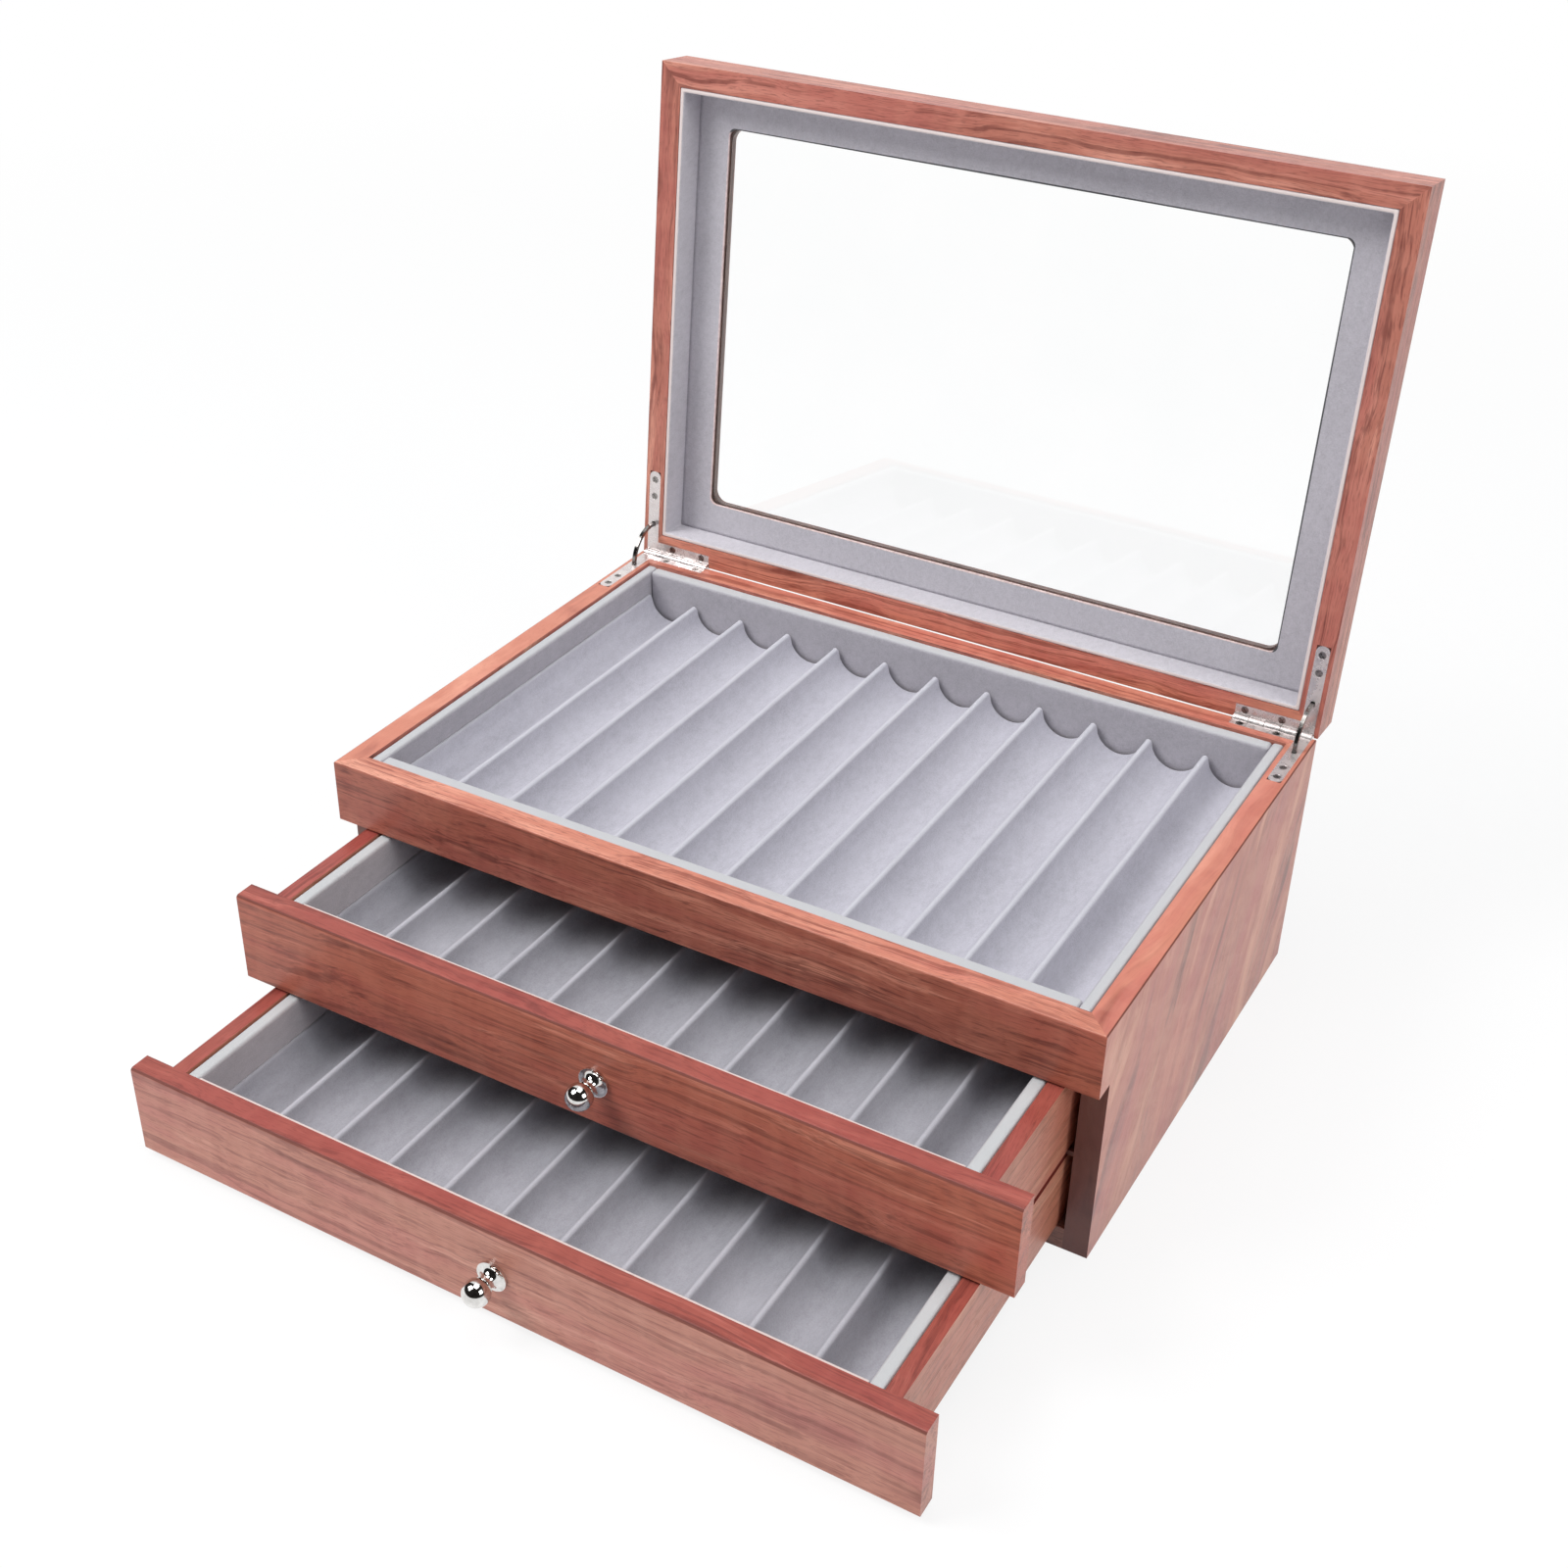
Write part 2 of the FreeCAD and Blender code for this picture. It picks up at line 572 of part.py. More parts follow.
def glazed_frame():
    """The board in the top of the lid, rebated below around its window for the glass."""
    body = board("lid_top_frame", "-innerX", "innerX", "-innerY", "innerY", "frameZ", "lidTop")
    rounded_opening(body, "windowWide / 2", "windowDeep / 2", "windowRound", "frameZ", "lidTop")
    pocket(body, "z", "frameZ", "frameZ + glassThick", outline,
           rectangle("-windowWide / 2 - glassLap", "windowWide / 2 + glassLap",
                     "-windowDeep / 2 - glassLap", "windowDeep / 2 + glassLap"))


def build_lid():
    """Rails, glazed frame, glass and linings of the lid, as it lies when it is shut."""
    lid_rail("lid_rail_front", [("-halfX", "-halfY"), ("halfX", "-halfY"), ("innerX", "-innerY"),
                                ("-innerX", "-innerY")], y="-halfY")
    lid_rail("lid_rail_back", [("-halfX", "halfY"), ("halfX", "halfY"), ("innerX", "innerY"),
                               ("-innerX", "innerY")], ([-1, 1], False), y="halfY")
    for word, side in (("left", -1), ("right", 1)):
        corners = [("%d * %s" % (side, x), y) for x, y in
                   (("halfX", "-halfY"), ("halfX", "halfY"), ("innerX", "innerY"),
                    ("innerX", "-innerY"))]
        lid_rail("lid_rail_" + word, corners, ([side], True), x="%d * halfX" % side)
    glazed_frame()
    glass = "(glassLap - looseFit)"
    board("lid_glass", "-windowWide / 2 - " + glass, "windowWide / 2 + " + glass,
          "-windowDeep / 2 - " + glass, "windowDeep / 2 + " + glass,
          "frameZ", "frameZ + glassThick")
    ring = board("lid_window_lining", "-innerX", "innerX", "-innerY", "innerY", "padZ", "frameZ")
    rounded_opening(ring, "windowWide / 2", "windowDeep / 2", "windowRound", "padZ", "frameZ")
    board("lid_lining_left", "-innerX", "lidPad - innerX", "-innerY", "innerY", "rimZ", "padZ")
    board("lid_lining_right", "innerX - lidPad", "innerX", "-innerY", "innerY", "rimZ", "padZ")
    board("lid_lining_front", "lidPad - innerX", "innerX - lidPad", "-innerY",
          "lidPad - innerY", "rimZ", "padZ")
    board("lid_lining_back", "lidPad - innerX", "innerX - lidPad", "innerY - lidPad",
          "innerY", "rimZ", "padZ")


# ---------------------------------------------------------------- hinges and stays

def knuckle_ends(side, index):
    """The two ends of one knuckle of the barrel, as formulas from low x to high x."""
    ends = ["%d * (barrelEnd - backLeg + %d * knuckle + knuckleGap)" % (side, index),
            "%d * (barrelEnd - backLeg + %d * knuckle - knuckleGap)" % (side, index + 1)]
    return sorted(ends, key=value)


def countersink(body, level, size):
    """Chamfer the round holes of a leaf where they open at a level."""
    chosen = []
    for number, edge in enumerate(body.Shape.Edges, start=1):
        curve = edge.Curve
        if isinstance(curve, Part.Circle) and abs(curve.Center.z - value(level)) < 1e-4 \
                and abs(curve.Radius - value("hingeScrew + looseFit / 2")) < 1e-4:
            chosen.append("Edge%d" % number)
    base = body.Tip
    feature = body.newObject("PartDesign::Chamfer", body.Name + "_countersink")
    feature.Base = (base, chosen)
    feature.setExpression("Size", formula(size))
    body.Tip = feature
    doc.recompute()


def hinge_leaf(name, side, low, high, face, own):
    """One leaf of a corner hinge: an L let into the rims, its knuckles, holes and stay slot.

    own lists the knuckles that this leaf carries; the leaf is hollowed for the others.
    """
    body = new_body(name)
    pad(body, "z", low, high, outline, leaf_corners(side))
    for x in ("barrelEnd", "barrelEnd - leafWide"):
        round_edges(body, "leafWide / 2 - looseFit", x="%d * (%s)" % (side, x),
                    y="halfY - sideLeg")
    for index in own:
        ends = knuckle_ends(side, index)
        pad(body, "z", low, high, outline, rectangle(ends[0], ends[1], "halfY - knuckleGap",
                                                     "axisY"))
        pad(body, "x", ends[0], ends[1], circle, "axisY", "axisZ", "barrel")
    for index in range(int(value("knuckles"))):
        ends = knuckle_ends(side, index)
        if index in own:
            pocket(body, "x", ends[0], ends[1], circle, "axisY", "axisZ", "pin + pinFit")
        else:
            pocket(body, "x", ends[0] + " - 2 * knuckleGap", ends[1] + " + 2 * knuckleGap",
                   circle, "axisY", "axisZ", "barrel + barrelClear")
    slot = sorted(["%d * (stayX - (stayThick + staySlotGap) / 2)" % side,
                   "%d * (stayX + (stayThick + staySlotGap) / 2)" % side], key=value)
    pocket(body, "z", low, high, outline,
           rectangle(slot[0], slot[1], "stayY - stayWide / 2 - staySlotGap",
                     "stayY + stayWide / 2 + staySlotGap"))
    for x, y in hinge_screw_places(side):
        pocket(body, "z", low, high, circle, x, y, "hingeScrew + looseFit / 2")
    countersink(body, face, "hingeScrewHead - hingeScrew - looseFit / 2")
    return body


def screw_group(name, side, face, direction):
    """The four countersunk screws of one leaf, with crossed slots, as separate solids."""
    radius, head = value("hingeScrew"), value("hingeScrewHead") - value("looseFit") / 2
    flare = head - radius
    length = value("hingeScrewLong") - value("knuckleGap")
    way = Vector(0, 0, direction)
    screws = []
    for x, y in hinge_screw_places(side):
        start = Vector(value(x), value(y), value(face)) + way * 0.02
        screw = Part.makeCone(head, radius, flare, start, way)
        screw = screw.fuse(Part.makeCylinder(radius, length - flare, start + way * flare, way))
        for turn in (45, 135):
            blade = Part.makeBox(head * 1.5, head / 4, flare)
            blade.translate(Vector(-head * 0.75, -head / 8, -flare / 2))
            blade.Placement = Placement(start, Rotation(Vector(0, 0, 1), turn)) \
                .multiply(blade.Placement)
            screw = screw.cut(blade)
        screws.append(screw)
    group = doc.addObject("Part::Feature", name)
    group.Label = name
    group.Shape = Part.makeCompound(screws)
    nodes.append(group)
    return group


def ring_sector(sketch, inner, outer, start, end):
    """A piece of a ring about the hinge axis, between two radii and two angles in degrees.

    Angles run from +Y towards +Z.
    """
    centre = Vector(value("axisY"), value("axisZ"), 0)
    normal = Vector(0, 0, 1)
    first, last = math.radians(value(start)), math.radians(value(end))
    arcs = [sketch.addGeometry(Part.ArcOfCircle(Part.Circle(centre, normal, value(radius)),
                                                first, last)) for radius in (inner, outer)]
    for arc, radius in zip(arcs, (inner, outer)):
        place_point(sketch, arc, 3, "axisY", "axisZ")
        bind(sketch, "Radius", (arc,), radius)
        for end_point, angle, turn in ((1, start, first), (2, end, last)):
            if abs(math.sin(turn)) > abs(math.cos(turn)):
                bind(sketch, "DistanceX", (-1, 1, arc, end_point),
                     "axisY + (%s) * cos((%s) * 1 deg)" % (radius, angle))
            else:
                bind(sketch, "DistanceY", (-1, 1, arc, end_point),
                     "axisZ + (%s) * sin((%s) * 1 deg)" % (radius, angle))
    for end_point, turn in ((1, first), (2, last)):
        ray = Vector(math.cos(turn), math.sin(turn), 0)
        line = sketch.addGeometry(Part.LineSegment(centre + ray * value(inner),
                                                   centre + ray * value(outer)))
        sketch.addConstraint(Sketcher.Constraint("Coincident", line, 1, arcs[0], end_point))
        sketch.addConstraint(Sketcher.Constraint("Coincident", line, 2, arcs[1], end_point))


def stay(name, side):
    """A quadrant stay: a curved bar about the hinge axis with a wider head at each end.

    It slides in the slots of both leaves.  With the lid open its heads bear on the hidden
    faces of the leaves; with the lid shut half of it lies in the lid and half in the side.
    """
    body = new_body(name)
    low_x = sorted(["%d * (stayX - stayThick / 2)" % side, "%d * (stayX + stayThick / 2)" % side],
                   key=value)
    lid_end = "180 - lidOpen - stayTailLid"
    chest_end = "180 + stayTailChest"
    inner, outer = "stayRadius - stayWide / 2", "stayRadius + stayWide / 2"
    pad(body, "x", low_x[0], low_x[1], ring_sector, inner, outer, lid_end, chest_end)
    for start, end in ((lid_end, lid_end + " + stayHeadAngle"),
                       (chest_end + " - stayHeadAngle", chest_end)):
        pad(body, "x", low_x[0], low_x[1], ring_sector, inner + " - stayHead",
            outer + " + stayHead", start, end)
    return body


def build_hinges():
    """Both hinges: leaves, pins, screws and stays; the lid's leaves and screws come last."""
    knuckles = range(int(value("knuckles")))
    for word, side in (("left", -1), ("right", 1)):
        hinge_leaf("hinge_leaf_chest_" + word, side, "chestHeight - leafThick", "chestHeight",
                   "chestHeight", [index for index in knuckles if index % 2 == 0])
        screw_group("hinge_screws_chest_" + word, side, "chestHeight", -1)
        ends = sorted(["%d * (barrelEnd - backLeg + knuckleGap)" % side,
                       "%d * (barrelEnd - knuckleGap)" % side], key=value)
        pin = new_body("hinge_pin_" + word)
        pad(pin, "x", ends[0], ends[1], circle, "axisY", "axisZ", "pin")
        stay("stay_" + word, side)
    first = len(nodes)
    for word, side in (("left", -1), ("right", 1)):
        hinge_leaf("hinge_leaf_lid_" + word, side, "rimZ", "rimZ + leafThick", "rimZ",
                   [index for index in knuckles if index % 2 == 1])
        screw_group("hinge_screws_lid_" + word, side, "rimZ", 1)
    return nodes[first:]


def open_lid(pieces):
    """Turn the lid's pieces about the hinge axis to the angle at which the stays hold it."""
    axis = Vector(0, value("axisY"), value("axisZ"))
    turn = Rotation(Vector(1, 0, 0), -value("lidOpen"))
    for piece in pieces:
        piece.Placement = Placement(Vector(0, 0, 0), turn, axis)


def check_and_export():
    """Check every object of the document, then write each piece to its own file."""
    for item in doc.Objects:
        if "Invalid" in item.State or "Error" in item.State:
            raise ValueError("%s failed: %s" % (item.Name, item.State))
    os.makedirs("parts", exist_ok=True)
    for node in nodes:
        shape = node.Shape
        if shape.isNull() or not shape.isValid() or not shape.Volume > 0:
            raise ValueError("%s has no valid shape" % node.Label)
        shape.exportStep(os.path.join("parts", node.Label + ".step"))


build_carcass()
build_tray()
build_drawer("upper", "upperFrontBottom", "upperFrontTop", "upperBoxBottom", "upperBoxTop",
             "upperInsert", "upperPull")
build_drawer("lower", "lowerFrontBottom", "lowerFrontTop", "lowerBoxBottom", "lowerBoxTop",
             "lowerInsert", "lowerPull")
first_lid_piece = len(nodes)
build_lid()
lid_pieces = nodes[first_lid_piece:]
lid_pieces += build_hinges()
open_lid(lid_pieces)
doc.recompute()
check_and_export()
print("%d pieces written" % len(nodes))
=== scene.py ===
"""Looks of the pen collector chest: rosewood veneer, grey velvet, nickel fittings, a clear window.

Lengths are in metres.  The chest faces -Y; the lid stands open and the two drawers are drawn.
"""

import math

import bpy
import numpy as np
from mathutils import Euler, Matrix, Vector


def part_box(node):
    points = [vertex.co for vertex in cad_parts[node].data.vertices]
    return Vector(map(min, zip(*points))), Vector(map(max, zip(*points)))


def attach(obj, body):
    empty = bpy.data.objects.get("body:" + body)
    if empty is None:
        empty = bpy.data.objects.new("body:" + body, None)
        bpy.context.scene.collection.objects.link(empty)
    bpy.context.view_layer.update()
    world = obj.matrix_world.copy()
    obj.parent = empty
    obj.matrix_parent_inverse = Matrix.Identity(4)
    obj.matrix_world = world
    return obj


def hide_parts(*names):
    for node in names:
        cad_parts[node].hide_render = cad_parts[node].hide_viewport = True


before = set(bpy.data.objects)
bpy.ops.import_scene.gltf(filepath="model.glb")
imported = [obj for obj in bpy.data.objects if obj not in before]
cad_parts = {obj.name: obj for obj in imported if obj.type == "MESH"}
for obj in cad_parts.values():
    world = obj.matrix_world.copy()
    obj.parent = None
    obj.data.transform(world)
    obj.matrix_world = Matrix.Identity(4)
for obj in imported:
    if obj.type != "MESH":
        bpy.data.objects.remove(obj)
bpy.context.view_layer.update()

LID_OPEN = math.radians(95.5)
LID_AXIS = Vector((0.0, 0.1153, 0.1124))
# takes a place in the shut lid to where it is with the lid open
LID_TURN = (Matrix.Translation(LID_AXIS) @ Matrix.Rotation(-LID_OPEN, 4, "X")
            @ Matrix.Translation(-LID_AXIS))


# ---------------------------------------------------------------- meshes

ROLL_STEPS = 6  # points of a rolled edge's quarter circle


def make_piece(name, points, faces, finish, turn=None, smooth=True):
    """A mesh object from rows of points and faces, turned by a 4x4 matrix if one is given."""
    points = np.asarray(points, float)
    if turn is not None:
        matrix = np.array(turn)
        points = points @ matrix[:3, :3].T + matrix[:3, 3]
    mesh = bpy.data.meshes.new(name)
    mesh.from_pydata(points.tolist(), [], [list(f) for f in faces])
    mesh.validate()
    mesh.materials.append(finish)
    mesh.polygons.foreach_set("use_smooth", [smooth] * len(mesh.polygons))
    mesh.update()
    piece = bpy.data.objects.new(name, mesh)
    bpy.context.scene.collection.objects.link(piece)
    return piece


def loft_faces(rows, columns, close_rows=False, close_columns=True):
    """Quads between neighbouring rows and columns of a grid, optionally joined end to start."""
    row, column = np.meshgrid(np.arange(rows if close_rows else rows - 1),
                              np.arange(columns if close_columns else columns - 1), indexing="ij")
    next_row, next_column = (row + 1) % rows, (column + 1) % columns
    corners = ((row, column), (next_row, column), (next_row, next_column), (row, next_column))
    return np.stack([r * columns + c for r, c in corners], -1).reshape(-1, 4)


def lofted(name, grid, finish, capped=True, close_rows=False, turn=None, other_finishes=()):
    """Skin over a grid of section loops: rows are stations, columns run round each loop.

    The end loops are closed with flat caps.  other_finishes names more materials, each with the
    first column of the section that it covers and the one after its last.  The signed volume, the
    sum of a . (b x c + c x d) over the faces, says which way the skin faces, and the skin is
    turned round where that is inwards."""
    rows, columns, _ = grid.shape
    points = grid.reshape(-1, 3)
    faces = loft_faces(rows, columns, close_rows)
    centre = points.mean(0)
    a, b, c, d = (points[faces[:, k]] - centre for k in range(4))
    volume = (a * (np.cross(b, c) + np.cross(c, d))).sum()
    faces = faces if volume > 0 else faces[:, ::-1]
    faces = [list(map(int, f)) for f in faces]
    if capped and not close_rows:
        first = list(range(columns))
        last = list(range((rows - 1) * columns, rows * columns))
        faces.append(first[::-1] if volume < 0 else first)
        faces.append(last if volume < 0 else last[::-1])
    piece = make_piece(name, points, faces, finish, turn)
    if other_finishes:
        column = np.arange(len(piece.data.polygons)) % columns
        number = np.zeros(len(column), int)
        for k, (material, start, stop) in enumerate(other_finishes):
            piece.data.materials.append(material)
            number[(column >= start) & (column < stop)] = k + 1
        piece.data.polygons.foreach_set("material_index", number)
    return piece


def undulation(x, y, z, size, wave):
    """Gentle unevenness of stuffed velvet: three crossing sines of the place, size at its most.

    Their wavelengths are wave, 1.37 wave and 0.71 wave, and the first two are bent by a further
    sine each, so that no pattern repeats."""
    turn = 2 * np.pi / wave
    across = np.sin(turn * x + 1.3 * np.sin(turn * y / 2.3))
    along = np.sin(turn * y / 1.37 + 1.9 + 0.8 * np.sin(turn * z))
    askew = np.sin(turn * (x + y + z) / 0.71 + 0.6)
    return size * (0.45 * across + 0.35 * along + 0.2 * askew)


def rounded_loop(half_a, half_b, radius, corner=6, side=4):
    """A rectangle's outline with quarter-circle corners, anticlockwise, as rows of (a, b).

    Each corner is centre + radius * (cos t, sin t) over a quarter turn, and each straight side
    gets evenly spaced points."""
    radius = min(radius, half_a * 0.98, half_b * 0.98)
    pieces = []
    turns = [(1, 1, 0.0), (-1, 1, 0.5), (-1, -1, 1.0), (1, -1, 1.5)]
    for sa, sb, start in turns:
        t = (start + np.linspace(0, 0.5, corner + 1)) * np.pi
        centre = np.array([sa * (half_a - radius), sb * (half_b - radius)])
        pieces.append(centre + radius * np.stack([np.cos(t), np.sin(t)], 1))
    rows = []
    for k in range(4):
        here, there = pieces[k], pieces[(k + 1) % 4]
        rows.append(here)
        share = np.linspace(0, 1, side + 2)[1:-1, None]
        rows.append(here[-1] * (1 - share) + there[0] * share)
    return np.concatenate(rows)


def rolled_ends(length, roll, steps, middle):
    """Stations along a length whose ends roll over, and how far each one is drawn in.

    Towards an end a station lies roll * (1 - cos t) from it and is drawn in by
    roll * (1 - sin t), a quarter circle; between the rolls are the middle stations."""
    t = np.linspace(0, np.pi / 2, steps)
    near = roll * (1 - np.cos(t))
    inset = roll * (1 - np.sin(t))
    inner = np.linspace(roll, length - roll, middle)[1:-1]
    stations = np.concatenate([near, inner, (length - near)[::-1]])
    return stations, np.concatenate([inset, np.zeros(len(inner)), inset[::-1]])


def padded_strip(name, low, high, along, radius, finish, soft=0.00008, wave=0.045, step=0.004):
    """A velvet-covered strip that fills a box, with every edge rolled over by the radius.

    The section is a rounded rectangle carried along one axis and drawn in at both ends as
    rolled_ends says.  Its sides wave inwards by up to twice soft, past edge_share of the half
    width, so that the strip stays in its box."""
    edge_share = 0.7
    least_radius = 0.12 * radius
    low, high = np.array(low, float), np.array(high, float)
    others = [k for k in range(3) if k != along]
    half = (high - low)[others] / 2
    middle = (high + low)[others] / 2
    length = high[along] - low[along]
    stations, insets = rolled_ends(length, radius, ROLL_STEPS, max(3, int(length / step)))
    loops = np.array([rounded_loop(*(half - drawn), max(radius - drawn, least_radius), 5, 8)
                      for drawn in insets])
    grid = np.zeros((len(stations), loops.shape[1], 3))
    grid[:, :, others] = middle + loops
    grid[:, :, along] = low[along] + stations[:, None]
    edge = np.minimum(insets / radius, 1)[:, None]
    pull = undulation(grid[..., 0], grid[..., 1], grid[..., 2], soft, wave) - soft
    away = loops / np.linalg.norm(loops, axis=2, keepdims=True)
    grid[:, :, others] += away * (pull * (1 - edge))[..., None] * (np.abs(loops) > half * edge_share)
    return lofted(name, grid, finish)


def slot_arc(pitch, depth, crest):
    """K, the radius of a slot's arc plus the crest's, and how far the arc reaches from its middle.

    K = (p*p/4 + d*d) / (2*d) for pitch p and depth d, and the reach is p/2 * (K - crest) / K."""
    k = (pitch * pitch / 4 + depth * depth) / (2 * depth)
    return k, pitch / 2 * (k - crest) / k


def slot_height(x, slots, half_width, ridge, depth, crest):
    """Height of the slotted velvet across the slots.

    Each slot is a circle's arc of radius K - crest, with K from slot_arc.  Between slots a circle
    of radius crest touches both arcs and makes the ridge."""
    pitch = 2 * half_width / slots
    k, reach = slot_arc(pitch, depth, crest)
    off_middle = (x + half_width) % pitch - pitch / 2
    centre = ridge - depth + k - crest
    trough = centre - np.sqrt(np.maximum((k - crest) ** 2 - off_middle ** 2, 0))
    off_ridge = pitch / 2 - np.abs(off_middle)
    top = ridge - crest + np.sqrt(np.maximum(crest ** 2 - off_ridge ** 2, 0))
    return np.where(np.abs(off_middle) <= reach, trough, top)


def slot_stations(slots, half_width, pitch, reach):
    """Places across the slots: even ones in each arc, and closer ones over each ridge."""
    ridge_half = pitch / 2 - reach
    one = np.concatenate([np.linspace(-reach, reach, 25),
                          pitch / 2 - ridge_half * np.cos(np.linspace(0, np.pi, 9))[1:-1]])
    middles = -half_width + pitch * (np.arange(slots) + 0.5)
    x = (middles[:, None] + one).ravel()
    first = -half_width + ridge_half * np.array([0, 0.35, 0.7])
    return np.unique(np.round(np.concatenate([first, x[x < half_width], [half_width]]), 7))


def slotted_pad(name, slots, half_width, front, rear, bottom, ridge, depth, finish):
    """The slotted pad: slot_height across, carried from the front end to the rear end.

    Along its length the top rolls down at both ends as rolled_ends says, with a short upright
    edge below, and the underside closes the section.  The top waves down by up to twice soft.
    Each point's "rise" is its height from trough (0) to ridge (1)."""
    crest = 0.0014
    roll = 0.0011
    upright = 1.6 * roll
    soft = 0.00016
    wave = 0.05
    pitch = 2 * half_width / slots
    x = slot_stations(slots, half_width, pitch, slot_arc(pitch, depth, crest)[1])
    top = slot_height(x, slots, half_width, ridge, depth, crest)
    stations, drop = rolled_ends(rear - front, roll, ROLL_STEPS, 46)
    y = np.concatenate([[front], front + stations, [rear]])
    drop = np.concatenate([[upright], drop, [upright]])
    yy, xx = np.meshgrid(y, x)
    zz = top[:, None] - drop
    zz = zz + (drop == 0) * (undulation(xx, yy, zz, soft, wave) - soft)
    under = np.zeros((len(x), 2, 3))
    under[..., 0] = x[:, None]
    under[..., 1] = rear, front
    under[..., 2] = bottom
    grid = np.concatenate([np.stack([xx, yy, zz], -1), under], 1)
    pad = lofted(name, grid, finish)
    rise = np.clip(1 - (ridge - grid[..., 2].ravel()) / depth, 0, 1)
    pad.data.attributes.new("rise", "FLOAT", "POINT").data.foreach_set("value", rise)
    return pad


def ring_wall(name, half_x, half_y, thick, low, high, corner, roll, finish, turn):
    """A velvet band bent round the inside of the lid.

    inside and outside are matching rounded rectangles, thick apart.  A point of the band is
    inside + share * (outside - inside), where share and height come from a rounded section."""
    inside = rounded_loop(half_x, half_y, corner, 6, 60)
    outside = rounded_loop(half_x + thick, half_y + thick, corner, 6, 60)
    section = rounded_loop(thick / 2, (high - low) / 2, roll, 5, 4)
    share = section[:, 0] / thick + 0.5
    grid = np.zeros((len(inside), len(section), 3))
    grid[:, :, :2] = inside[:, None] + (outside - inside)[:, None] * share[None, :, None]
    grid[:, :, 2] = section[None, :, 1] + (high + low) / 2
    return lofted(name, grid, finish, capped=False, close_rows=True, turn=turn)


def window_border(name, outer, inner, low, high, roll, finish, cut_finish, core_finish, turn):
    """The flat velvet frame round the window, with the pale cut edge of its cloth and its core.

    outer and inner are (half width, half depth, corner radius) of matching rounded rectangles.
    Between them a point is inner + s * direction; the section runs over the face, rolls down the
    inner edge by a quarter circle and returns along the hidden side."""
    outside = rounded_loop(*outer, 10, 40)
    inside = rounded_loop(*inner, 10, 40)
    wide = np.linalg.norm(outside - inside, axis=1, keepdims=True)
    away = (outside - inside) / wide
    t = np.linspace(0, np.pi / 2, ROLL_STEPS)
    cut = 0.0004  # width of the pale line where the cloth is cut
    rim = np.concatenate([[roll + cut], roll * (1 - np.sin(t)), [0.0]])
    rim_level = np.concatenate([[low], low + roll * (1 - np.cos(t)), [high]])
    face = np.linspace(1, 0.04, 10)
    back = np.array([0.5, 1.0])
    s = np.concatenate([roll + cut + (wide - roll - cut) * face[None],
                        np.repeat(rim[None], len(wide), 0), wide * back[None]], 1)
    level = np.concatenate([np.full(len(face), low), rim_level, np.full(len(back), high)])
    grid = np.zeros((len(wide), s.shape[1], 3))
    grid[:, :, :2] = inside[:, None] + away[:, None] * s[..., None]
    grid[:, :, 2] = level[None]
    first, last = len(face), len(face) + len(t)
    return lofted(name, grid, finish, capped=False, close_rows=True, turn=turn,
                  other_finishes=[(cut_finish, first, last), (core_finish, last, last + 2)])


# ---------------------------------------------------------------- finishes

class Nodes:
    """A node tree, and short ways to add and join its nodes."""

    def __init__(self, tree):
        self.tree = tree

    def add(self, kind, **settings):
        """A new node with some of its settings."""
        made = self.tree.nodes.new(kind)
        for key, value in settings.items():
            setattr(made, key, value)
        return made

    def put(self, value, socket):
        """Links an output to the socket, or sets the socket to a number or tuple."""
        if isinstance(value, bpy.types.NodeSocket):
            self.tree.links.new(value, socket)
        else:
            socket.default_value = value

    def calc(self, how, *values, clamp=False):
        """One step of arithmetic on numbers or outputs."""
        made = self.add("ShaderNodeMath", operation=how, use_clamp=clamp)
        for value, socket in zip(values, made.inputs):
            self.put(value, socket)
        return made.outputs[0]

    def share_of(self, value, share):
        """The value times a share."""
        return self.calc("MULTIPLY", value, share)

    def blend(self, share, first, second):
        """The second shader laid over the first by a share."""
        made = self.add("ShaderNodeMixShader")
        for value, socket in zip((share, first, second), made.inputs):
            self.put(value, socket)
        return made.outputs[0]

    def white_rays(self):
        """1 for the rays of the camera, of mirrors and of glass, and 0 for those that light things."""
        path = self.add("ShaderNodeLightPath").outputs
        return self.calc("MAXIMUM", path["Is Camera Ray"],
                         self.calc("MAXIMUM", path["Is Glossy Ray"], path["Is Transmission Ray"]))


